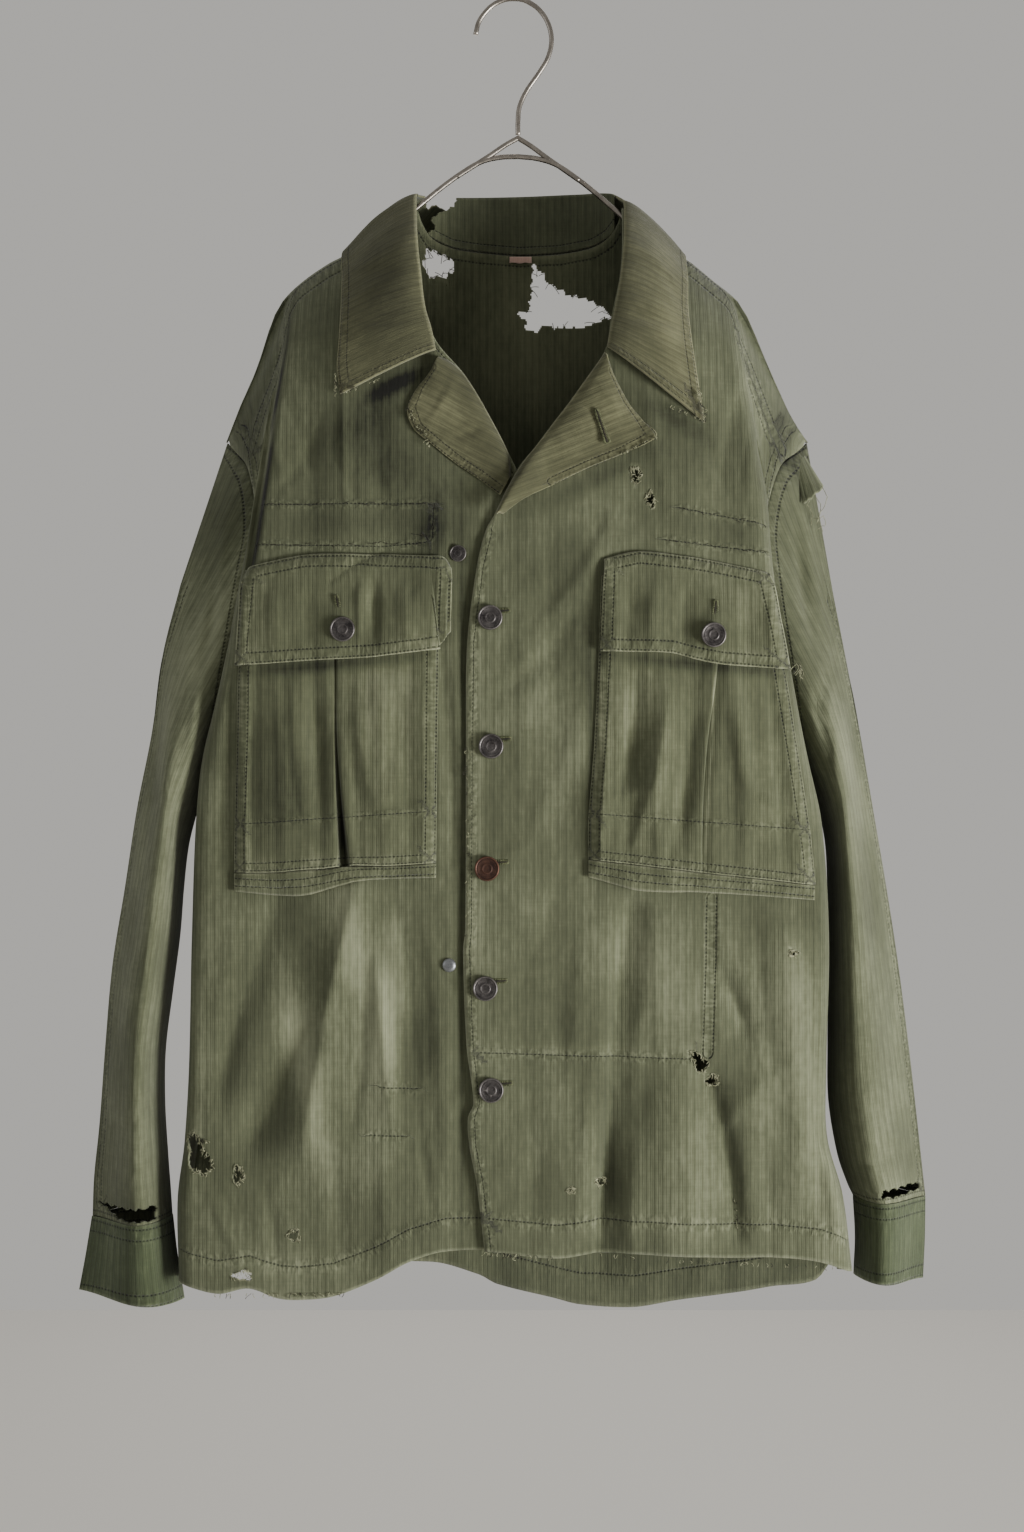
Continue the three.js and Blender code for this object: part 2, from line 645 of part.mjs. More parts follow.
// Lapels, turned out at the roll: each row goes from the roll to the outer edge
const LAPELS = {
  right: table('rollX rollZ outX outZ', [
    [-54, -277, -60.5, -289], [-46, -280.5, -71, -302], [-36, -289.5, -77, -316],
    [-27, -303, -72, -330], [-18, -319, -58, -342], [-9, -336, -42, -354.5],
    [-3, -350, -25, -366], [-2, -364, -10, -377.5],
  ]),
  left: table('rollX rollZ outX outZ', [
    [66, -274, 72.5, -291], [60, -283, 84, -312], [50, -297, 94, -324], [40, -311, 103, -336],
    [28, -326.5, 81, -347.5], [16, -343, 55, -358], [6, -356, 30, -370], [-5, -374, 8, -381],
    [-13, -391.5, -8, -392.5],
  ]),
};
const LAPEL_LIFT = table('share lift', [[0, 1.8], [0.12, 5.4], [0.35, 6.4], [0.7, 4.2], [1, 2]]);
const LAPEL_OVER = 5.4; // the left lapel lies over the right one where they meet

/** Adds the two lapels, lying on their fronts. */
function addLapels() {
  ['right', 'left'].forEach((side) => {
    const grid = LAPELS[side].map((row) => LAPEL_LIFT.map(({ share, lift }) => {
      const x = lerp(row.rollX, row.outX, share);
      const over = side === 'left' ? LAPEL_OVER * fade(x, 30, 4) : 0;
      return onFront(side, x, lerp(row.rollZ, row.outZ, share), lift + over);
    }));
    add(`lapel_${side}`, clothWall(grid, side === 'right' ? -1 : 1, () => false, 1.5), FINISH.twill);
  });
}

// Collar, from the right tip round the back of the neck to the left tip. Each row goes from the
// crease at the top of the fall to its outer edge. On the fronts the rows follow the cloth below.
const COLLAR_RIGHT = table('rollX rollZ outX outZ', [
  [-56, -272.5, -125.5, -305], [-59.5, -256, -128, -285], [-64, -240, -127, -262],
  [-67.5, -213, -126.5, -234], [-70.5, -184, -127, -212],
]);
const COLLAR_NECK = table('rollX rollY rollZ outX outY outZ', [
  [-72, -14, -158, -128.5, -11, -197],
  [-72.5, -1, -145, -127.5, 0, -187],
  [-71, 12, -142, -122, 18, -186],
  [-64, 28, -139, -104, 44, -180],
  [-42, 40, -137, -70, 48.5, -173.5],
  [3, 43.5, -135.5, 5, 50.5, -184],
  [50, 40, -134.5, 84, 50, -192],
  [74, 28, -137, 116, 45, -194],
  [81, 12, -145, 127, 18, -196],
  [82.5, -1, -150.5, 129, 0, -190.5],
  [82, -14, -163, 129, -11, -200.5],
]);
const COLLAR_LEFT = table('rollX rollZ outX outZ', [
  [81, -187, 129, -216], [78, -216, 128, -238], [73.5, -240, 129.5, -261],
  [70, -257, 133, -288], [67.5, -270, 138.5, -325],
]);
const COLLAR_CLEAR = 3.4; // outer face of the fall above the fronts
const FALL = table('share proud', [[0, 0], [0.06, 2.2], [0.2, 4.4], [0.45, 4.8], [0.72, 3], [1, 0]]);
const STAND_CLEAR = 4.8; // visible face of the stand inside the crease of the fall

/** Adds the collar's fall and the band that stands inside it. */
function addCollar() {
  const lying = (row) => ({
    ...row,
    rollY: frontY(row.rollX, row.rollZ) - COLLAR_CLEAR,
    outY: frontY(row.outX, row.outZ) - COLLAR_CLEAR,
  });
  const rows = [...COLLAR_RIGHT.map(lying), ...COLLAR_NECK, ...COLLAR_LEFT.map(lying)];
  const roll = rows.map((row) => new THREE.Vector3(row.rollX, row.rollY, row.rollZ));
  const out = rows.map((row) => new THREE.Vector3(row.outX, row.outY, row.outZ));
  const fall = rows.map((row, i) => {
    const before = Math.max(i - 1, 0);
    const after = Math.min(i + 1, rows.length - 1);
    const round = roll[after].clone().add(out[after]).sub(roll[before]).sub(out[before]);
    const proud = round.cross(out[i].clone().sub(roll[i])).normalize();
    return FALL.map((step) => (
      roll[i].clone().lerp(out[i], step.share).addScaledVector(proud, step.proud)));
  });
  const leaf = clothWall(fall, 1);
  add('collar_leaf', cutThrough(leaf, COLLAR_TEARS, 6, 60), FINISH.twill);
  const neckline = backGrid()[0].filter((point) => point.x > NECK[0].x && point.x < NECK[NECK.length - 1].x);
  const stand = neckline.map(({ x, y, z }) => {
    const low = new THREE.Vector3(x, y - CLOTH, z + 0.5);
    const high = new THREE.Vector3(
      x,
      read(COLLAR_NECK, 'rollX', x, 'rollY') - STAND_CLEAR,
      read(COLLAR_NECK, 'rollX', x, 'rollZ') - 2,
    );
    return [0, 0.5, 1].map((share) => low.clone().lerp(high, share));
  });
  add('collar_stand', cutThrough(clothWall(stand, 1), STAND_TEARS, 2, 44), FINISH.inside);
}

// Where the collar's crease is worn away at the right back of the neck
const COLLAR_TEARS = [
  table('x z', [[-74, -125], [-66, -145.5], [-60, -142], [-52, -146], [-43, -141.5], [-38, -125]]),
];
const STAND_TEARS = [
  table('x z', [
    [-74, -125], [-71, -165], [-66, -168.5], [-60, -164], [-62, -155], [-55, -150], [-45, -145],
    [-42, -125],
  ]),
];

// Pocket fronts: each row gives the two edges, the pleat and how wide it stands open, and how far
// the pocket swells
const POCKETS = {
  right: table('row leftX leftZ rightX rightZ pleat gap lift', [
    [0, -194, -440, -53, -436, -129.5, 1.6, 2.6],
    [1, -199.5, -505, -54.8, -495, -129, 1.8, 4.6],
    [2, -200.5, -560, -55, -548, -128, 3.6, 6.5],
    [3, -202, -620, -55.7, -608, -124.5, 6, 8],
    [4, -202.5, -651, -56, -644, -121.5, 7, 8.6],
  ]),
  left: table('row leftX leftZ rightX rightZ pleat gap lift', [
    [0, 63.5, -436, 182, -446, 148, 1.6, 2.6],
    [1, 61.5, -492, 196.5, -505, 147.4, 1.6, 4.6],
    [2, 58, -560, 207, -570, 139, 1.6, 6.3],
    [3, 54, -612, 215, -622, 136, 1.6, 7.6],
    [4, 54, -641, 219, -660, 136, 1.6, 8.2],
  ]),
};
const POCKET_CLOTH = 1.3;
const POCKET_EDGE = 2; // outer face of the pocket where it is stitched down
const PLEAT_DEPTH = 2.6;
const POCKET_STEP = 0.5; // rows are made at every half of the table's rows

/** Moves a profile of places and lifts in by the thickness of the cloth, square to itself. */
function insideProfile(profile, thickness) {
  return profile.map((point, i) => {
    const before = profile[Math.max(i - 1, 0)];
    const after = profile[Math.min(i + 1, profile.length - 1)];
    const square = (a, b) => new THREE.Vector2(b.y - a.y, a.x - b.x).normalize();
    const first = i > 0 ? square(before, point) : square(point, after);
    const second = i < profile.length - 1 ? square(point, after) : first;
    const mitre = first.clone().add(second).normalize();
    return point.clone().addScaledVector(mitre, thickness / Math.max(mitre.dot(first), 0.35));
  });
}

/** Profile of a pocket front: places across and how far each stands from the front. */
function pocketProfile(row) {
  const third = (row.pleat - row.leftX) / 3;
  const rest = (row.rightX - row.pleat) / 3;
  const deep = row.lift - Math.min(PLEAT_DEPTH, row.lift - POCKET_EDGE);
  return [
    [row.leftX, POCKET_EDGE], [row.leftX + 9, lerp(POCKET_EDGE, row.lift, 0.45)],
    [row.leftX + third, row.lift], [row.leftX + 2 * third, row.lift + 0.4],
    [row.pleat - row.gap / 2, row.lift], [row.pleat - row.gap / 4, deep],
    [row.pleat + row.gap / 4, deep], [row.pleat + row.gap / 2, row.lift],
    [row.pleat + rest, row.lift + 0.4], [row.pleat + 2 * rest, row.lift],
    [row.rightX - 9, lerp(POCKET_EDGE, row.lift, 0.45)], [row.rightX, POCKET_EDGE],
  ].map(([x, lift]) => new THREE.Vector2(x, lift));
}

const BANDS = {
  right: table('x low', [
    [-202.5, -664.5], [-176, -667], [-151, -667.5], [-126, -661], [-100, -656], [-56, -654.5],
  ]),
  left: table('x low', [
    [54, -654], [88, -663], [110, -665], [131.5, -665], [173, -667.5], [218, -671],
  ]),
};
const BAND_LIFT = 6.6;
const BAND_EDGE = 3.2;

/** Adds one pocket front and the gusset below it. */
function addPocket(side) {
  const rows = POCKETS[side];
  const last = rows[rows.length - 1];
  const columns = ['leftX', 'leftZ', 'rightX', 'rightZ', 'pleat', 'gap', 'lift'];
  const outer = [];
  const inner = [];
  for (let at = 0; at <= last.row; at += POCKET_STEP) {
    const row = Object.fromEntries(columns.map((column) => [column, read(rows, 'row', at, column)]));
    const height = (x) => lerp(row.leftZ, row.rightZ, (x - row.leftX) / (row.rightX - row.leftX));
    const place = (point) => onFront(side, point.x, height(point.x), point.y);
    const profile = pocketProfile(row);
    outer.push(profile.map(place));
    inner.push(insideProfile(profile, POCKET_CLOTH).map(place));
  }
  add(`pocket_${side}`, solidBetween(outer, inner, 1), FINISH.twill);
  const floor = (x) => lerp(last.leftZ, last.rightZ, (x - last.leftX) / (last.rightX - last.leftX));
  const steps = [[0, BAND_LIFT], [0.5, 0.65 * BAND_LIFT], [1, BAND_EDGE]];
  const band = BANDS[side].map(({ x, low }, i) => steps.map(([share, lift]) => {
    const end = i === 0 || i === BANDS[side].length - 1;
    return onFront(side, x, lerp(floor(x) - 1, low, share), end ? BAND_EDGE : lift);
  }));
  add(`pocket_band_${side}`, clothWall(band, -1, () => false, POCKET_CLOTH), FINISH.twill);
}

// Pocket flaps, from their inner to their outer end
const FLAPS = {
  right: table('topX topZ lowX lowZ', [
    [-194.5, -432, -200.5, -501], [-184, -427.5, -187, -500.5], [-151, -421, -152, -498],
    [-123, -420, -124, -496.5], [-98, -420.5, -100, -495], [-66, -421.5, -66, -491],
    [-51, -422.5, -54, -488.5], [-45, -431, -44.5, -477],
  ]),
  left: table('topX topZ lowX lowZ', [
    [65, -424, 62.3, -491], [90.5, -418.5, 89, -491.5], [123.6, -421.7, 115, -492.5],
    [140, -424.5, 132, -497], [155, -427.5, 150, -500.5], [175, -431.5, 178, -502.5],
    [184.5, -434, 198, -504],
  ]),
};
const FLAP_LIFT = table('share lift', [[0, 2.2], [0.1, 4.8], [0.35, 6.8], [0.7, 7.8], [1, 7.6]]);
const FLAP_CLOTH = 1.6;

/** Adds one pocket flap. */
function addFlap(side) {
  const grid = FLAPS[side].map((row) => FLAP_LIFT.map(({ share, lift }) => (
    onFront(side, lerp(row.topX, row.lowX, share), lerp(row.topZ, row.lowZ, share), lift))));
  add(`flap_${side}`, clothWall(grid, -1, () => false, FLAP_CLOTH), FINISH.twill);
}

// Metal buttons: places on the fronts, and how far their backs stand from the cloth below
const BUTTONS = [
  { name: 'button_front_1', side: 'left', x: -17, z: -466.5, lift: 0.7, radius: BUTTON_RADIUS },
  { name: 'button_front_2', side: 'left', x: -16.2, z: -559.5, lift: 0.7, radius: BUTTON_RADIUS },
  { name: 'button_front_3', side: 'left', x: -19, z: -648, lift: 0.7, radius: BUTTON_RADIUS },
  { name: 'button_front_4', side: 'left', x: -20.5, z: -734.5, lift: 0.7, radius: BUTTON_RADIUS },
  { name: 'button_front_5', side: 'left', x: -16.2, z: -808, lift: 0.7, radius: BUTTON_RADIUS },
  { name: 'button_neck', side: 'right', x: -40, z: -420, lift: 0.9, radius: NECK_BUTTON_RADIUS },
  { name: 'button_flap_right', side: 'right', x: -123, z: -475, lift: 8.5, radius: BUTTON_RADIUS },
  { name: 'button_flap_left', side: 'left', x: 143.8, z: -479.5, lift: 8.6, radius: BUTTON_RADIUS },
];

/** Turned piece standing on a front, its profile given as radius and height. */
function addTurned(name, { side, x, z, lift }, profile, finish) {
  const geometry = new THREE.LatheGeometry(profile.map(([r, h]) => new THREE.Vector2(r, h)), 14);
  const seat = onFront(side, x, z, lift);
  const outward = onFront(side, x, z, lift + 1).sub(seat).normalize();
  const mesh = add(name, geometry, finish);
  mesh.position.copy(seat);
  mesh.quaternion.setFromUnitVectors(new THREE.Vector3(0, 1, 0), outward);
}

/** Adds the buttons and the rivet. Each button has a rim, a sunk ring and a raised middle. */
function addFastenings() {
  BUTTONS.forEach((button) => {
    const r = button.radius;
    const top = (BUTTON_THICK * r) / BUTTON_RADIUS;
    addTurned(button.name, button, [
      [0, 0], [r, 0], [r, top - 0.9], [r - 0.8, top], [r - 1.8, top],
      [r - 2.4, top - 0.5], [0.36 * r, top - 0.5], [0, top],
    ], FINISH.button);
  });
  addTurned('rivet', { side: 'right', x: -46.5, z: -718, lift: 0.8 }, [
    [0, 0], [RIVET_RADIUS, 0], [RIVET_RADIUS, 0.6], [0.8 * RIVET_RADIUS, 1.6],
    [0.4 * RIVET_RADIUS, 2.2], [0, 2.3],
  ], FINISH.rivet);
}

/** Round wire along a path, as one closed solid. */
function wireAlong(points, steps, sides = 8) {
  const section = new THREE.Shape();
  section.absarc(0, 0, WIRE / 2, 0, 2 * Math.PI, false);
  const path = new THREE.CatmullRomCurve3(points.map(({ x, z }) => new THREE.Vector3(x, 0, z)));
  return new THREE.ExtrudeGeometry(section, {
    extrudePath: path, steps, curveSegments: sides / 2, bevelEnabled: false,
  });
}

const HOOK_LINE = table('x z', [
  [-28.5, -25], [-25.5, -14.5], [-17.5, -4.5], [-8, 0.8], [0.5, 1.9], [9, 0.5], [19, -6],
  [26, -16.5], [28.6, -29], [26, -42], [19, -54], [10, -67], [4.6, -79], [3.4, -90], [3.4, -100.3],
]);
const BAR_LINE = table('x z', [
  [0, -116.5], [14, -117.6], [28, -121.5], [42, -130], [58, -142], [78, -159], [98, -176],
  [121, -195], [142, -210], [162, -227],
]);
const HANGER_TILT = 0.03; // the bar hangs a little lower on the left
const BRACE_LINE = table('x z', [[0, -102.6], [10, -108.5], [22, -117], [34, -125], [46, -133]]);

/** Adds the hanger: its hook, and the bent bar with the brace welded over it. */
function addHanger() {
  add('hanger_hook', wireAlong(HOOK_LINE, 30), FINISH.wire);
  const bothSides = (line) => [
    ...line.slice(1).reverse().map(({ x, z }) => ({ x: HANGER_MIDDLE - x, z: z + HANGER_TILT * x })),
    ...line.map(({ x, z }) => ({ x: HANGER_MIDDLE + x, z: z - HANGER_TILT * x })),
  ];
  const bar = toSolid(wireAlong(bothSides(BAR_LINE), 34));
  const brace = toSolid(wireAlong(bothSides(BRACE_LINE), 14));
  add('hanger_frame', toGeometry(bar.add(brace)), FINISH.wire);
}

const LABEL_CLOTH = 0.8;
const LABEL_CLEAR = 1.6; // room between the label and the back

/** Adds what is left of the neck label, on the inside of the back. */
function addLabel() {
  const places = [-3, 6, 14];
  const grid = places.map((x) => [-184, -188.6].map((z) => (
    new THREE.Vector3(x, backY(x, z) - CLOTH - LABEL_CLEAR - LABEL_CLOTH, z))));
  add('label', clothWall(grid, -1, () => false, LABEL_CLOTH), FINISH.label);
}

addBody();
addSleeves();
addLapels();
addCollar();
['right', 'left'].forEach((side) => {
  addPocket(side);
  addFlap(side);
});
addFastenings();
addHanger();
addLabel();

export default jacket;
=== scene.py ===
"""A worn field jacket of herringbone twill on a wire hanger.

Sizes are in millimetres on the pattern and in metres in the meshes. +Z is up and the front
faces -Y. Right and left are the wearer's, so right is -X. The origin is the inner top of the
hanger's hook.
"""
import logging
import math
from dataclasses import dataclass
from enum import Enum
from typing import Callable, Optional, Sequence

import bmesh
import bpy
import numpy as np
from mathutils import Euler, Matrix, Vector


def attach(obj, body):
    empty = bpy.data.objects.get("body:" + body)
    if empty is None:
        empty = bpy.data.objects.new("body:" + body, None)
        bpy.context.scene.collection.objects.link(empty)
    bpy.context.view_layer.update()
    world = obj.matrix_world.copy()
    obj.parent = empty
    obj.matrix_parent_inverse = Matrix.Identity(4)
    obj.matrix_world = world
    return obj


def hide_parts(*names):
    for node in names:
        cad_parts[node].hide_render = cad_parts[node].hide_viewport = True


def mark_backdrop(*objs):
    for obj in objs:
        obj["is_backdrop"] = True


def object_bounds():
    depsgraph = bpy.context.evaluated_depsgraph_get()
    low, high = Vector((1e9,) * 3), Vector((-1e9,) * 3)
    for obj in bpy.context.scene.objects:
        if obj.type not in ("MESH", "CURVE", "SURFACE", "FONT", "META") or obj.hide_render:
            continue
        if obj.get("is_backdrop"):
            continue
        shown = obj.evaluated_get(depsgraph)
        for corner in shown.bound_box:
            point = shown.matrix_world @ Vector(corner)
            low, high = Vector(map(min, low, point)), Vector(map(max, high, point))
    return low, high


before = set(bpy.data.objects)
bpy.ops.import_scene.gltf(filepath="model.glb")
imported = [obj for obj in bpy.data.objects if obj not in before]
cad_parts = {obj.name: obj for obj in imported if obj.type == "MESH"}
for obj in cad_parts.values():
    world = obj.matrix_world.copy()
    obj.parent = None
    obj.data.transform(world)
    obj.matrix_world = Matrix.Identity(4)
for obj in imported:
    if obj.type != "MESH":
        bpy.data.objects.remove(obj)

logging.basicConfig(level=logging.INFO, format="%(message)s")
LOG = logging.getLogger("jacket")

CLOTH = 1.4
SEAM = 0.3
LAP = 3.2
FOLD_RADIUS = 12.0
FRONT_DEPTH = 58.0
FRONT_SETTLE = 45.0
BACK_DEPTH = 41.0
BACK_SETTLE = 18.0
BACK_ARMHOLE = 0.6
FLATNESS = 7.0
HALF_WIDTH = 235.0
SHOULDER_REACH = 110.0
HEM_REACH = 240.0
MM = 0.001
# Added to the lengths along a single row of stitches, so that the material can tell it
ROW_MARK = 100.0
# Half widths beside a seam past which places are no longer told apart
FAR_BESIDE = 9.0

Points = np.ndarray
Row = Sequence[float]


class Side(Enum):
    """The wearer's two sides."""

    RIGHT = "right"
    LEFT = "left"

    @property
    def hand(self) -> int:
        """Sign of X on this side."""
        return -1 if self is Side.RIGHT else 1


class Rows(Enum):
    """How many rows of stitches a seam shows."""

    SINGLE = 1
    DOUBLE = 0


def lerp(a: Points, b: Points, t: Points) -> Points:
    """Value a share of the way from a to b."""
    return a + (b - a) * t


def fade(value: Points, start: float, end: float) -> Points:
    """Eased 0 to 1 as a value goes from start to end, up or down."""
    t = np.clip((value - start) / (end - start), 0.0, 1.0)
    return t * t * (3.0 - 2.0 * t)


def ripple(u: Points, v: Points, size: float, seed: float) -> Points:
    """Smooth uneven waves over a plane.

    Args:
        u: Places across, in millimetres.
        v: Places along, in millimetres.
        size: Length of the largest wave.
        seed: Chooses which waves.

    Returns:
        Heights from about -1 to 1.
    """
    total = np.zeros_like(u, dtype=float)
    for k in range(1, 7):
        turn = seed * 1.7 + k * 2.3
        rate = 2.0 * math.pi * (0.6 + 0.4 * k) / size
        total += np.sin(rate * (u * math.cos(turn) + v * math.sin(turn)) + k * k + seed) / k
    return total / 1.8


class Table:
    """Rows of numbers under named columns, read along smooth curves."""

    def __init__(self, columns: str, rows: Sequence[Row]) -> None:
        """Keeps each column as an array.

        Args:
            columns: Names of the columns, apart by spaces.
            rows: One row of numbers for each place.
        """
        names = columns.split()
        self.data = dict(zip(names, np.array(rows, dtype=float).T))
        self.data.setdefault("row", np.arange(len(rows), dtype=float))
        self.count = len(rows)

    def __getitem__(self, name: str) -> Points:
        """One column."""
        return self.data[name]

    def records(self) -> list[dict[str, float]]:
        """The rows as dictionaries."""
        return [{k: float(v[i]) for k, v in self.data.items()} for i in range(self.count)]

    def at(self, key: str, place: Points, column: str) -> Points:
        """Value of a column where the key column reaches a place.

        Args:
            key: Column that only rises or only falls.
            place: One place or an array of them.
            column: The column that is read.

        Returns:
            The values, on a smooth curve through the rows.
        """
        keys, values = self.data[key], self.data[column]
        place = np.asarray(place, dtype=float)
        if keys[-1] < keys[0]:
            keys, place = -keys, -place
        i = np.clip(np.searchsorted(keys, place, side="right") - 1, 0, len(keys) - 2)
        after = np.minimum(np.arange(len(keys)) + 1, len(keys) - 1)
        before = np.maximum(np.arange(len(keys)) - 1, 0)
        slope = (values[after] - values[before]) / (keys[after] - keys[before])
        span = keys[i + 1] - keys[i]
        t = np.clip((place - keys[i]) / span, 0.0, 1.0)
        bend = (values[i + 1] - values[i]) * t * t * (3.0 - 2.0 * t)
        lift = t * (1.0 - t) ** 2 * slope[i] * span
        drop = t * t * (t - 1.0) * slope[i + 1] * span
        return values[i] + bend + lift + drop

    def line(self, *columns: str) -> list[tuple[float, ...]]:
        """The rows as points of the named columns."""
        return list(zip(*(self.data[name].tolist() for name in columns)))


def folds_at(folds: Table, x: Points, z: Points) -> Points:
    """Sum of the folds at places on a panel, fading out at each fold's ends."""
    total = np.zeros_like(x, dtype=float)
    for fold in folds.records():
        run = fold["endX"] - fold["x"]
        fall = fold["endZ"] - fold["z"]
        t = np.clip(((x - fold["x"]) * run + (z - fold["z"]) * fall) / (run**2 + fall**2), 0, 1)
        off = np.hypot(x - fold["x"] - t * run, z - fold["z"] - t * fall)
        total += fold["depth"] * np.exp(-((off / fold["width"]) ** 2))
    return total


def creases_at(creases: Table, u: Points, v: Points) -> Points:
    """Finer creases: each is bowed, soft at its ends and has a sharper side.

    Args:
        creases: Start, end, bow, width and depth of each crease.
        u: Places across the cloth.
        v: Places along the cloth.

    Returns:
        Heights over the cloth, below 0 in a trough.
    """
    total = np.zeros_like(u, dtype=float)
    for c in creases.records():
        run, fall = c["endX"] - c["x"], c["endZ"] - c["z"]
        length = math.hypot(run, fall)
        t = ((u - c["x"]) * run + (v - c["z"]) * fall) / length**2
        inside = np.clip(t, 0.0, 1.0)
        square = ((v - c["z"]) * run - (u - c["x"]) * fall) / length
        square = square - c["bow"] * 4.0 * inside * (1.0 - inside)
        width = c["width"] * (0.65 + 0.35 * np.sin(math.pi * inside))
        past = np.maximum(np.abs(t - 0.5) - 0.5, 0.0) * length
        ends = np.exp(-((past / (1.3 * c["width"])) ** 2))
        soft = ends * (0.35 + 0.65 * np.sin(math.pi * inside))
        side = np.where(square > 0.0, 1.0, 0.62)
        total += c["depth"] * soft * np.exp(-((square / (width * side)) ** 2))
    return total


def ridge_at(x: Points) -> Points:
    """Height of the shoulder line."""
    return RIDGE.at("x", np.clip(x, -215.5, 221.0), "z")


def fold_x(side: Side, z: Points) -> Points:
    """Where a side's front turns to the side."""
    return HANG[side.value].at("fold", np.clip(z, -943.0, -225.0), "foldX")


def rounding(x: Points, z: Points) -> Points:
    """How far the cloth draws back where it rounds into the side fold."""
    fold = np.where(x < 0, np.abs(fold_x(Side.RIGHT, z)), np.abs(fold_x(Side.LEFT, z)))
    turn = np.clip(np.abs(x) - (fold - FOLD_RADIUS), 0.0, FOLD_RADIUS)
    return FOLD_RADIUS - np.sqrt(FOLD_RADIUS**2 - turn**2)


def front_y(x: Points, z: Points) -> Points:
    """Depth of the front's outer face, before it is lapped."""
    below = np.maximum(ridge_at(x) - z, 0.0)
    settled = 1.0 - np.exp(-below / FRONT_SETTLE)
    flat = FRONT_DEPTH - FLATNESS * (x / HALF_WIDTH) ** 2 + folds_at(FRONT_FOLDS, x, z)
    flat = flat + creases_at(FRONT_CREASES, x, z) + 0.8 * ripple(x, 0.45 * z, 90.0, 2.0)
    return np.minimum(-(flat * settled) + rounding(x, z), -0.5 * SEAM - 0.05 * below)


def back_y(x: Points, z: Points) -> Points:
    """Depth of the back's outer face."""
    below = np.maximum(ridge_at(x) - z, 0.0)
    settled = 1.0 - np.exp(-below / BACK_SETTLE)
    flat = BACK_DEPTH - FLATNESS * (x / HALF_WIDTH) ** 2 + folds_at(BACK_FOLDS, x, z)
    flat = flat + creases_at(BACK_CREASES, x, z) + 0.8 * ripple(x, 0.4 * z, 110.0, 5.0)
    return np.maximum(flat * settled - rounding(x, z), 0.5 * SEAM + 0.05 * below)


def lap_at(side: Side, x: Points) -> Points:
    """How far the right front lies behind the left one."""
    return LAP * fade(x, -62.0, -30.0) if side is Side.RIGHT else np.zeros_like(x)


def on_front(side: Side, x: Points, z: Points, lift: Points) -> Points:
    """Points moved out from a front's outer face, square to it.

    Args:
        side: Which front.
        x: Places across.
        z: Heights.
        lift: How far out each point goes.

    Returns:
        An array of points, one row for each.
    """
    step = 2.0
    y = front_y(x, z) + lap_at(side, x)
    across = (front_y(x + step, z) - front_y(x - step, z)) / (2.0 * step)
    along = (front_y(x, z + step) - front_y(x, z - step)) / (2.0 * step)
    length = np.sqrt(across**2 + 1.0 + along**2)
    return np.stack([x + lift * across / length, y - lift / length, z + lift * along / length], -1)


@dataclass(frozen=True)
class Seam:
    """A sewn line on the flat cloth, with its rows of stitches half a width to each side."""

    path: Sequence[Row]
    half: float = 4.0
    rows: Rows = Rows.DOUBLE


def seam_field(u: Points, v: Points, seams: Sequence[Seam]) -> tuple[Points, Points]:
    """For each place, how far along the nearest seam it is and how far beside it.

    Args:
        u: Places across the cloth, in millimetres.
        v: Places along the cloth.
        seams: The seams of the piece.

    Returns:
        Lengths along in metres, with ROW_MARK added on a single row, and places beside the
        seam in half widths, below 0 on one side of it.
    """
    best = np.full(u.shape, 1e9)
    along = np.zeros_like(best)
    beside = np.full(u.shape, FAR_BESIDE)
    for seam in seams:
        start = 0.0
        points = [np.array(p[:2], dtype=float) for p in seam.path]
        for a, b in zip(points, points[1:]):
            run = b - a
            length = float(np.hypot(*run)) or 1.0
            t = np.clip(((u - a[0]) * run[0] + (v - a[1]) * run[1]) / length**2, 0.0, 1.0)
            du, dv = u - a[0] - t * run[0], v - a[1] - t * run[1]
            off = np.hypot(du, dv)
            sign = np.where(run[0] * dv - run[1] * du < 0.0, -1.0, 1.0)
            near = off < best
            best = np.where(near, off, best)
            place = (start + t * length) * MM + ROW_MARK * seam.rows.value
            along = np.where(near, place, along)
            beside = np.where(near, sign * off / seam.half, beside)
            start += length
    return along, np.clip(beside, -FAR_BESIDE, FAR_BESIDE)


def spots_at(spots: Table, u: Points, v: Points) -> Points:
    """Sum of soft patches, lighter above 0 and darker below 0: fading and stains, and also painted
    shadows and painted light.
    """
    total = np.zeros_like(u, dtype=float)
    for s in spots.records():
        turn = math.radians(s["turn"])
        du, dv = u - s["x"], v - s["z"]
        across = (du * math.cos(turn) + dv * math.sin(turn)) / s["wide"]
        up = (dv * math.cos(turn) - du * math.sin(turn)) / s["tall"]
        total += s["amount"] * np.exp(-(across**2) - up**2)
    return total


# Top line of the shoulders, right to left
RIDGE = Table("x z", [
    [-215.5, -331], [-209, -314], [-203, -299], [-196, -284], [-190, -268], [-181, -240],
    [-173, -225], [-159, -211], [-139, -197], [-126, -190], [-100, -170], [-74, -149.5],
    [-40, -146], [3, -145], [45, -147], [81.5, -155], [100, -170], [124, -190], [135, -197.5],
    [150, -210], [168, -225], [177, -240], [189, -269], [202, -299], [209, -314], [221, -331],
])
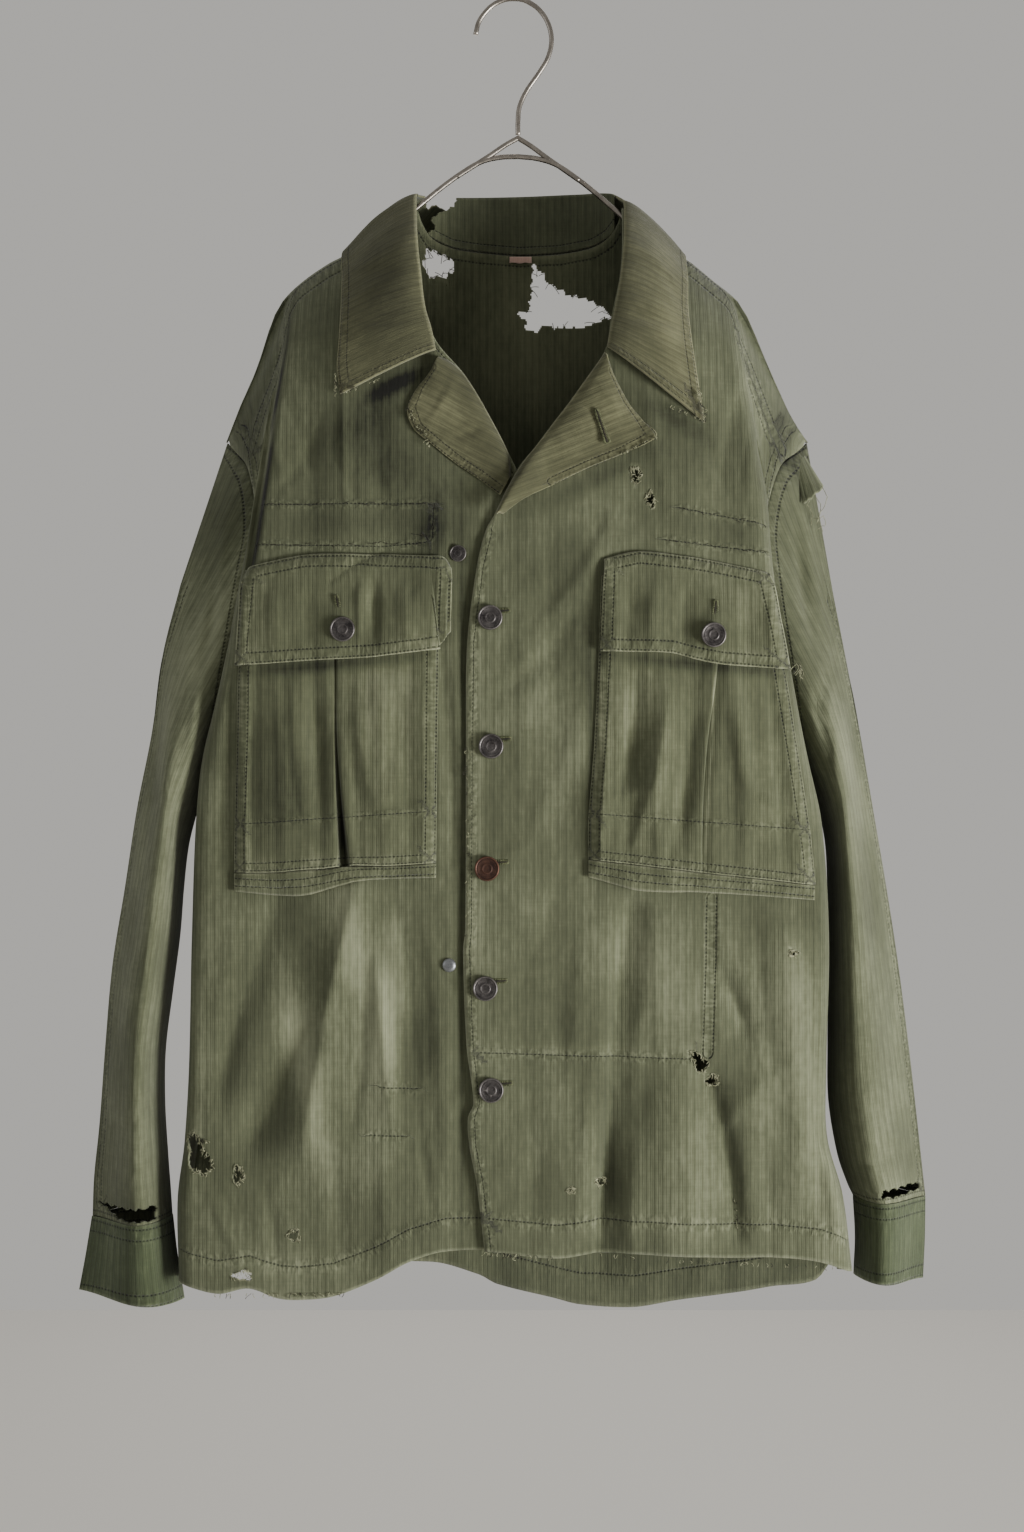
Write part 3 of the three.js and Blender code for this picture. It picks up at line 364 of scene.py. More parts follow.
# Each side: the fold where the front turns, the height at the front edge, and the panel's end
HANG = {
    "right": Table("fold foldX front sideX sideY side", [
        [-225, -173, -149.5, -215.5, 0, -331],
        [-262, -172, -195, -207, 11, -340],
        [-300, -178, -245, -196.5, 24, -354],
        [-340, -184.5, -290, -190.5, 29, -385],
        [-375, -190, -340, -194.5, 32, -410],
        [-415, -196, -394, -199.5, 33, -440],
        [-452, -203, -440, -205.5, 32, -472],
        [-490, -210, -484, -213, 29, -507],
        [-527, -218, -525, -221, 21, -543],
        [-570, -228, -570, -228, 0, -577],
        [-616, -232.5, -616, -230, 0, -618],
        [-700, -235.5, -700, -232, 0, -700],
        [-790, -237.5, -780, -234, 0, -790],
        [-850, -241, -840, -238, 0, -850],
        [-890, -246, -875, -243, 0, -890],
        [-950, -245, -925, -243, 0, -955],
    ]),
    "left": Table("fold foldX front sideX sideY side", [
        [-225, 168, -155, 221, 0, -331],
        [-262, 169.5, -195, 211, 11, -340],
        [-300, 174.5, -240, 197, 24, -353],
        [-340, 179, -290, 187, 29, -385],
        [-375, 185.5, -340, 187.8, 32, -410],
        [-415, 188.5, -394, 191, 33, -440],
        [-452, 193, -440, 196.5, 32, -472],
        [-490, 200.5, -484, 203.5, 29, -507],
        [-527, 207.5, -525, 210.5, 21, -543],
        [-570, 216, -570, 217.5, 0, -577],
        [-616, 225.5, -616, 223, 0, -618],
        [-700, 231, -700, 227, 0, -700],
        [-790, 229, -780, 225, 0, -790],
        [-850, 229.5, -840, 226, 0, -850],
        [-890, 241, -875, 237, 0, -890],
        [-943, 248, -925, 244, 0, -951],
    ]),
}
# Front edges, hems and the neckline
EDGE = {
    "right": Table("z x", [
        [-149.5, -74], [-170, -72], [-195, -70], [-213, -67.5], [-242, -64], [-266, -56],
        [-289, -36],
        [-314, -21], [-340, -7], [-356, 1], [-375, 11], [-395, 18], [-430, 20], [-925, 20],
    ]),
    "left": Table("z x", [
        [-155, 81.5], [-173, 81], [-195, 80], [-218, 77.5], [-249, 71], [-271, 67], [-289, 56],
        [-314, 38], [-338, 20], [-357, 4], [-378, -7], [-394, -15], [-403, -20], [-429, -26.5],
        [-484, -33.5], [-554, -34.5], [-692, -35], [-707, -36.5], [-777, -34], [-818, -29],
        [-828, -33], [-849, -32], [-875, -27], [-925, -21],
    ]),
}
HEM = {
    "right": Table("x z", [
        [-245, -950], [-215, -957], [-192, -953], [-171, -960], [-155, -961], [-130, -958],
        [-100, -946], [-76, -933], [-50, -925.5], [20, -925],
    ]),
    "left": Table("x z", [
        [-21, -925], [31, -930], [61, -926.5], [101, -927.5], [153, -930], [190, -930.5],
        [222, -934], [248, -943],
    ]),
    "back": Table("x z", [
        [-243, -955], [-64, -955], [-26, -965], [-13, -972], [31, -983], [51, -988], [92, -990],
        [124, -984.5], [175, -977], [197, -973], [232, -967], [244, -951],
    ]),
}
NECK = Table("x z", [
    [-74, -149.5], [-70, -160], [-63, -170], [-47, -177], [-26, -180], [5, -182.5], [36, -181],
    [60, -177], [72, -171], [79, -163], [81.5, -155],
])
# Main folds that hang in the cloth
FRONT_FOLDS = Table("x z endX endZ width depth", [
    [-115, -666, -151, -838, 15, 5],
    [-99, -723, -90, -818, 10, 3],
    [-153, -770, -188, -843, 15, -6],
    [-172, -672, -212, -798, 18, -4],
    [-75, -690, -60, -860, 20, -3],
    [86, -680, 66, -920, 11, -6],
    [113, -820, 116, -915, 22, 5],
    [143, -806, 161, -910, 10, -4],
    [152, -730, 166, -762, 11, -4],
    [196, -700, 205, -880, 16, 3],
    [-128, -262, -118, -405, 18, 3],
    [128, -262, 125, -405, 18, 3],
])
BACK_FOLDS = Table("x z endX endZ width depth", [
    [-120, -250, -150, -560, 26, 4],
    [118, -255, 152, -570, 24, 4],
    [-60, -420, -95, -900, 22, -5],
    [30, -480, 70, -940, 24, 6],
    [140, -600, 172, -930, 20, -5],
    [-165, -640, -190, -910, 20, 5],
])
# Holes worn through the cloth
HOLES = {
    "right": Table("x z wide tall turn", [
        [-229, -857, 15, 32, 20], [-199.6, -870.5, 8, 14, 0], [-159.2, -913.8, 9, 9, 0],
        [-196.7, -943.5, 14, 7, 0],
    ]),
    "left": Table("x z wide tall turn", [
        [88.4, -363, 8, 12, 0], [99.2, -381, 6, 12, 10], [202.5, -709.5, 7, 4.5, 0],
        [134.6, -788.2, 9, 17, 32], [144.4, -801.9, 10, 8, 40], [41.5, -880.6, 6, 5, 0],
        [63.1, -875.6, 8, 6, 0],
    ]),
}
BACK_HOLES = [
    [
        [15, -188], [21.2, -194.5], [27.3, -203], [42.7, -211.4], [61.9, -216.8], [71.1, -224],
        [75.7, -229], [61.9, -233], [54.2, -236.7], [36.5, -237.5], [23.5, -235.6], [17.3, -240.6],
        [9.6, -238.3], [8.9, -230.6], [2, -226], [12, -222.9], [13.5, -211.4],
    ],
    [
        [-62, -179], [-47.2, -185], [-45.6, -188.4], [-47.2, -196], [-57.1, -199.1],
        [-64.8, -198.4],
        [-69.4, -190.7], [-68, -182],
    ],
]
# Sleeve and cuff rings, from the shoulder down
SLEEVES = {
    "right": Table("outX outZ inX inZ bow front back", [
        [-249, -438, -238.5, -613, 4, -45, 34],
        [-262, -490, -243, -636, 0, -51, 38],
        [-270, -548, -246.5, -668, 0, -56, 41],
        [-281, -605, -249, -702, 0, -59, 42],
        [-290, -665, -254, -742, 0, -60, 41],
        [-299, -722, -259, -784, 0, -60, 39],
        [-304, -780, -259.5, -824, 0, -59, 36],
        [-308, -838, -257, -862, 0, -57, 31],
        [-312, -878, -255, -887, 0, -55, 28],
        [-313, -908, -253.5, -907, 0, -53, 24],
    ]),
    "left": Table("outX outZ inX inZ bow front back", [
        [240, -447, 231, -613, 4, -39, 34],
        [250, -498, 234, -636, 0, -42, 38],
        [260, -550, 235.5, -668, 0, -44, 41],
        [269, -602, 236, -702, 0, -45, 43],
        [279, -660, 236, -742, 0, -45, 44],
        [288, -718, 235.5, -784, 0, -44, 43],
        [296, -780, 236, -824, 0, -43, 41],
        [302, -835, 242, -862, 0, -42, 37],
        [306, -875, 249, -884, 0, -41, 32],
        [308, -895, 253.5, -894, 0, -40, 28],
    ]),
}
CUFFS = {
    "right": Table("outX outZ inX inZ bow front back", [
        [-313.5, -908.4, -253, -907.4, 0, -53, 24],
        [-318, -936, -249.5, -938, 0, -52, 23],
        [-323, -963, -244.5, -969, 0, -51, 22],
    ]),
    "left": Table("outX outZ inX inZ bow front back", [
        [308, -895.4, 253.5, -894.4, 0, -40, 28],
        [307.5, -925, 255, -924, 0, -40, 27],
        [306, -956, 254, -953, 0, -40, 26],
    ]),
}
SLEEVE_RIPS = {
    "right": [[[-309, -897], [-262, -895], [-261, -905], [-284, -905.5], [-292, -904.5]]],
    "left": [
        [[270, -885], [300, -884], [303, -889], [284, -891], [268, -889.5]],
        [[226, -371], [232, -374], [234, -385], [227, -389], [222, -381]],
    ],
}
# Lapels and collar, each row from the crease to the outer edge
LAPELS = {
    "right": Table("rollX rollZ outX outZ", [
        [-54, -277, -60.5, -289], [-46, -280.5, -71, -302], [-36, -289.5, -77, -316],
        [-27, -303, -72, -330], [-18, -319, -58, -342], [-9, -336, -42, -354.5],
        [-3, -350, -25, -366], [-2, -364, -10, -377.5],
    ]),
    "left": Table("rollX rollZ outX outZ", [
        [66, -274, 72.5, -291], [60, -283, 84, -312], [50, -297, 94, -324], [40, -311, 103, -336],
        [28, -326.5, 81, -347.5], [16, -343, 55, -358], [6, -356, 30, -370], [-5, -374, 8, -381],
        [-13, -391.5, -8, -392.5],
    ]),
}
LAPEL_LIFT = Table("share lift", [[0, 1.8], [0.12, 5.4], [0.35, 6.4], [0.7, 4.2], [1, 2]])
COLLAR_RIGHT = Table("rollX rollZ outX outZ", [
    [-56, -272.5, -125.5, -305], [-59.5, -256, -128, -285], [-64, -240, -127, -262],
    [-67.5, -213, -126.5, -234], [-70.5, -184, -127, -212],
])
COLLAR_NECK = Table("rollX rollY rollZ outX outY outZ", [
    [-72, -14, -158, -128.5, -11, -197],
    [-72.5, -1, -145, -127.5, 0, -187],
    [-71, 12, -142, -122, 18, -186],
    [-64, 28, -139, -104, 44, -180],
    [-42, 40, -137, -70, 48.5, -173.5],
    [3, 43.5, -135.5, 5, 50.5, -184],
    [50, 40, -134.5, 84, 50, -192],
    [74, 28, -137, 116, 45, -194],
    [81, 12, -145, 127, 18, -196],
    [82.5, -1, -150.5, 129, 0, -190.5],
    [82, -14, -163, 129, -11, -200.5],
])
COLLAR_LEFT = Table("rollX rollZ outX outZ", [
    [81, -187, 129, -216], [78, -216, 128, -238], [73.5, -240, 129.5, -261],
    [70, -257, 133, -288], [67.5, -270, 138.5, -325],
])
FALL = Table("share proud", [[0, 0], [0.06, 2.2], [0.2, 4.4], [0.45, 4.8], [0.72, 3], [1, 0]])
COLLAR_TEARS = [
    [[-74, -125], [-66, -145.5], [-60, -142], [-52, -146], [-43, -141.5], [-38, -125]],
]
STAND_TEARS = [
    [
        [-74, -125], [-71, -165], [-66, -168.5], [-60, -164], [-62, -155], [-55, -150], [-45, -145],
        [-42, -125],
    ],
]
# Pockets, gussets and flaps
POCKETS = {
    "right": Table("row leftX leftZ rightX rightZ pleat gap lift", [
        [0, -194, -440, -53, -436, -129.5, 1.6, 2.6],
        [1, -199.5, -505, -54.8, -495, -129, 1.8, 4.6],
        [2, -200.5, -560, -55, -548, -128, 3.6, 6.5],
        [3, -202, -620, -55.7, -608, -124.5, 6, 8],
        [4, -202.5, -651, -56, -644, -121.5, 7, 8.6],
    ]),
    "left": Table("row leftX leftZ rightX rightZ pleat gap lift", [
        [0, 63.5, -436, 182, -446, 148, 1.6, 2.6],
        [1, 61.5, -492, 196.5, -505, 147.4, 1.6, 4.6],
        [2, 58, -560, 207, -570, 139, 1.6, 6.3],
        [3, 54, -612, 215, -622, 136, 1.6, 7.6],
        [4, 54, -641, 219, -660, 136, 1.6, 8.2],
    ]),
}
BANDS = {
    "right": Table("x low", [
        [-202.5, -664.5], [-176, -667], [-151, -667.5], [-126, -661], [-100, -656], [-56, -654.5],
    ]),
    "left": Table("x low", [
        [54, -654], [88, -663], [110, -665], [131.5, -665], [173, -667.5], [218, -671],
    ]),
}
FLAPS = {
    "right": Table("topX topZ lowX lowZ", [
        [-194.5, -432, -200.5, -501], [-184, -427.5, -187, -500.5], [-151, -421, -152, -498],
        [-123, -420, -124, -496.5], [-98, -420.5, -100, -495], [-66, -421.5, -66, -491],
        [-51, -422.5, -54, -488.5], [-45, -431, -44.5, -477],
    ]),
    "left": Table("topX topZ lowX lowZ", [
        [65, -424, 62.3, -491], [90.5, -418.5, 89, -491.5], [123.6, -421.7, 115, -492.5],
        [140, -424.5, 132, -497], [155, -427.5, 150, -500.5], [175, -431.5, 178, -502.5],
        [184.5, -434, 198, -504],
    ]),
}
FLAP_LIFT = Table("share lift", [[0, 2.2], [0.1, 4.8], [0.35, 6.8], [0.7, 7.8], [1, 7.6]])
# The wire
HOOK_LINE = Table("x z", [
    [-28.5, -25], [-25.5, -14.5], [-17.5, -4.5], [-8, 0.8], [0.5, 1.9], [9, 0.5], [19, -6],
    [26, -16.5], [28.6, -29], [26, -42], [19, -54], [10, -67], [4.6, -79], [3.4, -90],
    [3.4, -100.3],
])
BAR_LINE = Table("x z", [
    [0, -116.5], [14, -117.6], [28, -121.5], [42, -130], [58, -142], [78, -159], [98, -176],
    [121, -195], [142, -210], [162, -227],
])
BRACE_LINE = Table("x z", [[0, -102.6], [10, -108.5], [22, -117], [34, -125], [46, -133]])

# Finer creases of each panel, laid over its main folds
CREASE = "x z endX endZ bow width depth"
FRONT_CREASES = Table(CREASE, [
    [143.5, -668, 142, -726, 0, 4, -2.4], [142, -730, 140, -790, 1, 3.5, -1.6],
    [143, -806, 162, -912, 4, 5, -2.6], [84, -672, 70, -812, -2, 4.5, -2.2],
    [69.8, -815, 61, -922, 1, 5, -4.4], [54, -800, 44, -915, 2, 9, 1.8],
    [90, -835, 86, -925, -2, 10, 2.6], [118, -812, 128, -925, 3, 12, 1.8],
    [-88.6, -657, -70, -828, 4, 3, -1.4], [-70, -828, -56, -922, 0, 3, -1.8],
    [-115, -664, -137, -754, 0, 6, 2.4], [-137, -752, -152, -846, 0, 6, 2.2],
    [-99, -720, -89, -826, 0, 5, 2.2], [-107, -700, -118, -838, 3, 6, -2.2],
    [-153, -768, -190, -846, 4, 6, -1.8], [-172, -670, -212, -800, 0, 9, -1.8],
    [-205, -700, -222, -860, -4, 8, 1.6], [-62, -700, -50, -860, 2, 7, 1.6],
    [-40, -675, -36, -905, 0, 6, -1.2], [196, -698, 206, -884, 3, 9, 1.8],
    [152, -728, 167, -766, 2, 5, -3], [176, -690, 190, -800, -3, 7, -1.8],
    [215, -720, 222, -900, 2, 6, -1.8], [100, -690, 104, -790, 2, 7, 1.2],
    [30, -690, 36, -790, -2, 8, -1.0], [10, -800, 14, -920, 2, 9, -1.4],
    [-196, -300, -168, -372, 6, 7, 2.2], [-184, -276, -150, -352, 4, 8, -2.0],
    [-140, -322, -176, -378, 5, 6, -1.4], [-110, -338, -86, -378, 3, 7, 1.2],
    [-46, -372, -42, -432, 0, 8, -1.4], [176, -282, 152, -360, -5, 8, -2.2],
    [190, -300, 170, -378, -5, 6, 2.0], [140, -330, 160, -384, -3, 6, -1.2],
    [60, -384, 66, -420, 0, 8, -1.4], [24, -400, 30, -640, 2, 9, -1.4],
    [44, -420, 48, -660, 2, 6, 1.0], [6, -420, 4, -640, 1, 5, 0.9],
    [-30, -410, 10, -402, 2, 4, -1.2], [-2, -452, 24, -446, 1, 4, 0.9],
    [-10, -548, 22, -556, 1, 5, -1.0], [-10, -640, 20, -632, 1, 5, 1.0],
    [-10, -728, 26, -740, 1, 5, -1.0], [-2, -804, 30, -812, 2, 5, 0.9],
    [-208, -452, -212, -640, 3, 5, -2.0], [206, -460, 222, -640, -3, 5, -2.0],
    [-200, -400, -206, -430, 0, 5, -1.5], [-225, -880, -200, -940, 3, 6, 1.8],
    [-180, -880, -172, -950, 2, 7, -1.8], [-130, -860, -124, -945, 0, 8, -1.6],
    [-96, -850, -92, -930, 0, 7, 1.6], [182, -860, 186, -925, 2, 7, -1.8],
    [224, -800, 236, -925, 0, 6, 2.0], [-124, -292, -122, -386, 0, 4, 2.4],
    [-104, -300, -98, -384, 2, 9, -2.6], [-150, -300, -146, -386, 0, 9, -2.0],
    [-130, -440, -90, -420, 3, 5, -1.2], [96, -292, 112, -384, -3, 9, 2.2],
    [70, -392, 20, -470, 6, 9, 2.0], [40, -470, -10, -520, 5, 9, -1.8],
    [46, -540, 12, -620, 4, 10, 1.6], [34, -650, 10, -720, 3, 9, -1.4],
    [48, -700, 40, -790, 2, 9, 1.8], [-60, -430, -44, -640, 2, 5, -2.2],
    [-46, -440, -38, -640, 1, 3, 1.4], [-120, -690, -134, -760, 0, 14, 1.6],
    [-86, -740, -78, -840, 0, 12, -1.4], [-190, -720, -206, -830, 2, 14, 2.4],
    [150, -840, 190, -800, 4, 9, 1.8], [100, -750, 84, -860, 3, 12, -2.2],
    [176, -800, 170, -920, -2, 12, 2.2], [-171, -262, -194, -440, 0, 3.6, -11.0],
    [-130, -352, -116, -380, 2, 5, -1.4], [60, -376, 92, -404, 3, 7, -1.3],
])
BACK_CREASES = Table(CREASE, [
    [-90, -270, -30, -400, 14, 9, -2.2], [92, -265, 40, -410, -12, 10, 2.2],
    [-150, -300, -176, -420, 5, 8, 2.4], [152, -300, 178, -430, -5, 8, -2.6],
    [-120, -430, -60, -560, 12, 12, -2.0], [96, -450, 140, -600, -8, 12, 2.4],
    [-20, -300, -12, -520, 3, 12, 1.6], [-200, -480, -204, -660, 3, 7, -2.4],
    [192, -480, 206, -660, -3, 7, -2.4], [-150, -620, -120, -820, 8, 10, 2.6],
    [-40, -640, -54, -900, -5, 10, -2.4], [20, -600, 30, -860, 6, 12, 2.0],
    [110, -640, 96, -900, 6, 10, -2.6], [196, -700, 186, -930, -4, 9, 2.2],
    [-196, -760, -214, -940, 4, 8, -2.2], [60, -820, 66, -975, 0, 9, 1.8],
    [-90, -820, -84, -945, 2, 9, 1.8], [150, -850, 148, -970, 0, 8, -1.6],
])
SLEEVE_CREASES = {
    "right": Table(CREASE, [
        [-232, -526, -246, -604, 3, 6, 4.0], [-246, -604, -254, -722, -2, 6, 3.2],
        [-262, -500, -272, -640, 4, 9, -3.6], [-280, -560, -288, -720, 3, 8, 3.0],
        [-222, -440, -236, -512, 5, 6, -3.4], [-214, -390, -232, -470, 5, 7, 2.6],
        [-270, -690, -286, -820, 3, 8, -2.8], [-262, -760, -274, -900, -3, 8, 2.4],
        [-296, -730, -303, -880, 2, 7, 2.0], [-264, -820, -300, -846, 3, 6, -1.8],
        [-262, -862, -302, -878, 3, 6, 1.6], [-248, -590, -276, -604, 2, 5, -2.0],
    ]),
    "left": Table(CREASE, [
        [200, -346, 211, -399, -3, 5, -3.8], [211, -399, 221, -478, -2, 5, -3.8],
        [238, -498, 221, -529, 0, 4, -3.6], [221, -529, 232, -562, 0, 4, -3.6],
        [214, -372, 232, -470, -4, 6, 3.0], [236, -560, 246, -680, -4, 7, 3.2],
        [252, -520, 264, -660, -3, 8, -3.0], [268, -620, 274, -760, 3, 7, 2.8],
        [248, -690, 254, -820, 3, 8, -3.0], [282, -720, 290, -850, 2, 7, 2.2],
        [264, -790, 276, -890, -3, 8, -2.2], [250, -840, 296, -856, 3, 6, 1.8],
        [252, -868, 298, -862, 2, 6, -1.6],
    ]),
}
SLEEVE_BACKS = {
    "right": Table(CREASE, [
        [-226, -440, -250, -600, 6, 8, -3.4], [-262, -520, -282, -700, -5, 9, 3.4],
        [-258, -700, -286, -860, 5, 9, -3.0], [-296, -740, -302, -880, 2, 7, 2.0],
        [-250, -620, -284, -640, 4, 7, 2.0],
    ]),
    "left": Table(CREASE, [
        [222, -440, 240, -600, -6, 8, 3.4], [252, -520, 268, -700, 5, 9, -3.2],
        [248, -700, 274, -860, -5, 9, 3.0], [286, -740, 296, -880, 2, 7, -2.0],
        [244, -640, 276, -626, 4, 7, -2.0],
    ]),
}
LAPEL_CREASES = Table(CREASE, [
    [-44, -296, -60, -322, 2, 5, 1.2], [-20, -326, -46, -336, 2, 4, -1.0],
    [62, -298, 84, -322, -2, 6, 1.4], [46, -310, 70, -338, 3, 6, -1.4],
    [24, -338, 46, -350, 2, 4, 1.0], [-2, -376, 14, -370, 1, 4, -0.9],
])
COLLAR_CREASES = Table(CREASE, [
    [40, 6, 70, 66, 3, 8, 1.3], [96, 10, 118, 60, -3, 8, -1.2], [180, 4, 196, 60, 3, 10, 1.0],
    [270, 8, 262, 60, 0, 10, -1.2], [352, 8, 372, 62, 3, 10, 1.2], [440, 6, 456, 58, -3, 8, -1.2],
    [516, 8, 530, 62, 3, 8, 1.2], [590, 8, 570, 64, 3, 8, -1.3],
])
POCKET_CREASES = {
    "right": Table(CREASE, [
        [-172, -512, -166, -640, 3, 9, 2.0], [-186, -506, -188, -640, -2, 7, -1.8],
        [-148, -510, -140, -644, 2, 7, -1.6], [-100, -500, -92, -640, 2, 9, 1.8],
        [-76, -500, -74, -638, -2, 8, -1.8], [-116, -560, -110, -642, 0, 6, -1.4],
        [-190, -588, -160, -606, 3, 6, 1.2], [-96, -606, -64, -598, 3, 6, -1.0],
        [-144, -508, -138, -606, 0, 10, -3.4], [-160, -520, -152, -600, 0, 8, 2.2],
        [-112, -512, -100, -600, -3, 9, 2.2], [-86, -520, -92, -580, 3, 7, -1.6],
    ]),
    "left": Table(CREASE, [
        [84, -500, 80, -650, 3, 9, -1.8], [108, -500, 104, -652, -2, 8, 1.8],
        [126, -506, 120, -650, 0, 6, -1.6], [160, -512, 166, -656, 2, 8, 1.6],
        [184, -512, 196, -656, 2, 8, -2.0], [66, -560, 62, -640, 0, 6, 1.4],
        [172, -590, 206, -604, -3, 6, 1.2], [70, -600, 104, -592, 3, 7, 1.0],
        [90, -508, 76, -600, 4, 9, -2.6], [112, -520, 88, -626, 4, 9, 2.6],
        [132, -506, 112, -640, 5, 8, -2.2], [156, -510, 172, -600, -3, 9, 1.8],
    ]),
}
FLAP_CREASES = {
    "right": Table(CREASE, [
        [-110, -424, -110, -488, 0, 5, 1.5], [-101, -424, -100, -488, 0, 4, -1.7],
        [-132, -424, -133, -446, 0, 3, -0.9], [-176, -430, -178, -456, 0, 4, -1.0],
        [-150, -424, -152, -450, 0, 3, 0.9], [-72, -424, -74, -452, 0, 4, -1.0],
        [-176, -440, -172, -498, 2, 8, 1.2], [-150, -436, -144, -496, -2, 8, -1.4],
        [-104, -436, -110, -494, 2, 8, -1.4], [-80, -436, -76, -490, 0, 8, 1.2],
        [-126, -450, -124, -495, 0, 9, 1.2],
    ]),
    "left": Table(CREASE, [
        [82, -436, 80, -490, 2, 8, -1.2], [104, -436, 100, -492, -2, 9, 1.4],
        [126, -440, 122, -494, 0, 8, -1.4], [166, -446, 166, -500, 2, 8, -1.2],
        [184, -450, 186, -500, 0, 6, 1.2], [144, -456, 143, -496, 0, 9, 1.2],
    ]),
}

# Lighter above 0 and darker below it: fading and stains, and also painted shadows and painted light
SPOT = "x z wide tall turn amount"
FRONT_SPOTS = {
    "right": Table(SPOT, [
        [-120, -690, 14, 90, 12, 0.36], [-94, -770, 12, 70, -6, 0.36],
        [-145, -820, 12, 60, 12, 0.3],
        # The second spot is painted light over the shaded side of a fold
        [-176, -820, 20, 50, 18, -0.05], [-160, -765, 14, 64, 10, 0.34],
        [-70, -800, 10, 90, -8, -0.12], [-230, -800, 10, 120, 0, 0.2],
        # The third spot is a painted shadow under the lapel's tip
        [-120, -345, 60, 26, 0, -0.14], [-170, -300, 26, 40, 20, 0.1], [-60, -400, 16, 14, 0, -0.3],
        [-104, -860, 16, 18, 0, 0.16], [-88, -694, 8, 12, 0, 0.18], [-150, -935, 80, 10, 0, 0.16],
        # The second spot is a painted shadow: a near-black line in the groove between the front's
        # fold and the sleeve head
        [-40, -600, 12, 200, 0, 0.1], [-183, -351, 3.0, 92, -7, -1.6],
        # The first spot is painted light on the side and sleeve head beside that groove
        [-206, -370, 10, 60, -20, 0.3], [-222, -345, 14, 34, 0, -0.3],
        # Painted shadow of the left front's edge on the right front, in three spots
        [-37, -480, 4, 90, 0, -0.4], [-38, -660, 3.5, 110, 0, -0.34], [-38, -850, 3.5, 90, 0, -0.3],
        # Painted shadows between the lapel and the left front's edge, and under the collar's tip
        [-52, -405, 18, 62, 0, -0.36], [-106, -320, 34, 15, 28, -0.42],
        [-84, -362, 30, 14, -40, -0.2],
        # The first spot is a near-black painted shadow between the collar and the lapel
        [-86, -297, 24, 6, 25, -0.9], [-190, -960, 60, 8, 0, 0.2], [-122, -398, 62, 12, 0, -0.2],
    ]),
    "left": Table(SPOT, [
        [-28, -600, 8, 240, 0, 0.24], [20, -560, 20, 200, 0, 0.08], [106, -730, 40, 60, 0, 0.14],
        [196, -790, 26, 90, 4, 0.2], [70, -870, 8, 60, 4, -0.34], [120, -880, 26, 50, 0, 0.16],
        [130, -345, 44, 30, 0, -0.1], [150, -403, 36, 11, -8, -0.2], [184, -300, 14, 50, 24, 0.18],
        [40, -780, 70, 5, 0, 0.16], [160, -850, 7, 60, 12, -0.2], [60, -905, 90, 10, 0, 0.14],
        [134, -790, 14, 18, 20, 0.22], [225, -860, 12, 80, 0, 0.2],
        # The second and third spots are painted shadows under the collar's tip and the lapel's
        # lower edge
        [222, -345, 16, 34, 0, -0.45], [116, -322, 26, 8, -28, -0.4], [56, -368, 46, 7, 26, -0.3],
        # The first spot is a painted shadow along the pocket's inner edge
        [57, -560, 4, 90, 3, -0.4], [40, -420, 20, 20, 0, -0.12],
    ]),
}
BACK_SPOTS = Table(SPOT, [
    [0, -260, 130, 90, 0, 0.34], [-110, -600, 60, 120, 0, 0.1], [120, -700, 50, 140, 0, 0.12],
    [0, -950, 200, 30, 0, 0.06], [0, -520, 90, 60, 0, -0.1],
])
SLEEVE_SPOTS = Table(SPOT, [
    [10, -640, 14, 200, 0, 0.22], [50, -560, 14, 120, 6, 0.2], [90, -700, 16, 120, 0, -0.14],
    [60, -840, 30, 60, 0, 0.14], [40, -890, 60, 10, 0, 0.16], [150, -640, 40, 180, 0, 0.06],
    # The second and third spots are painted light on the right sleeve's upper front
    [200, -640, 12, 200, 0, 0.18], [158, -470, 44, 110, 0, 0.34], [150, -640, 30, 120, 0, 0.12],
    [186, -400, 12, 60, 0, -0.3], [30, -345, 60, 14, 0, -0.3],
    [50, -430, 50, 80, 0, -0.14], [70, -470, 20, 60, 0, 0.1],
])
LAPEL_SPOTS = Table(SPOT, [
    [-60, -316, 26, 20, 0, 0.24], [80, -322, 24, 18, 0, 0.12], [46, -330, 20, 12, 30, 0.1],
    [-12, -350, 14, 20, -40, -0.12], [8, -366, 12, 12, 30, -0.1],
])
COLLAR_SPOTS = Table(SPOT, [
    [40, 60, 50, 14, 0, 0.14], [600, 56, 60, 16, 0, 0.3], [560, 34, 60, 24, 0, 0.14],
    [320, 4, 300, 8, 0, 0.1], [90, 30, 60, 24, 0, -0.14],
])
POCKET_SPOTS = {
    "right": Table(SPOT, [
        # Painted shade on the pocket's outer half and painted light on its inner half
        [-170, -560, 24, 70, 0, -0.16], [-98, -570, 26, 70, 0, 0.16],
        # Painted shade in the open pleat
        [-123, -626, 2.4, 36, 3, -0.8],
        # The third spot is a painted shadow under the flap's lower edge
        [-130, -645, 60, 8, 0, 0.12], [-198, -560, 6, 90, 0, 0.14], [-127, -500, 72, 5, 4.9, -0.5],
        # Painted shade on the outer side of the pleat
        [-152, -600, 22, 34, -14, -0.2],
    ]),
    "left": Table(SPOT, [
        [96, -560, 24, 70, 0, 0.12], [176, -580, 26, 60, 0, -0.04],
        [142.4, -560, 1.1, 95, -3.2, 0.5],
        # The third spot is a painted shadow under the flap's lower edge
        [120, -650, 70, 8, 0, 0.12], [60, -560, 6, 90, 0, 0.14], [130, -500, 70, 5, -5.5, -0.5],
        [80, -590, 12, 44, -16, -0.24],
    ]),
}
FLAP_SPOTS = Table(SPOT, [
    [-120, -492, 80, 7, 0, 0.14], [130, -494, 80, 7, 0, 0.14], [-160, -455, 24, 20, 0, -0.14],
    [-80, -455, 20, 20, 0, -0.1], [100, -455, 20, 20, 0, -0.06], [180, -460, 18, 24, 0, 0.06],
])

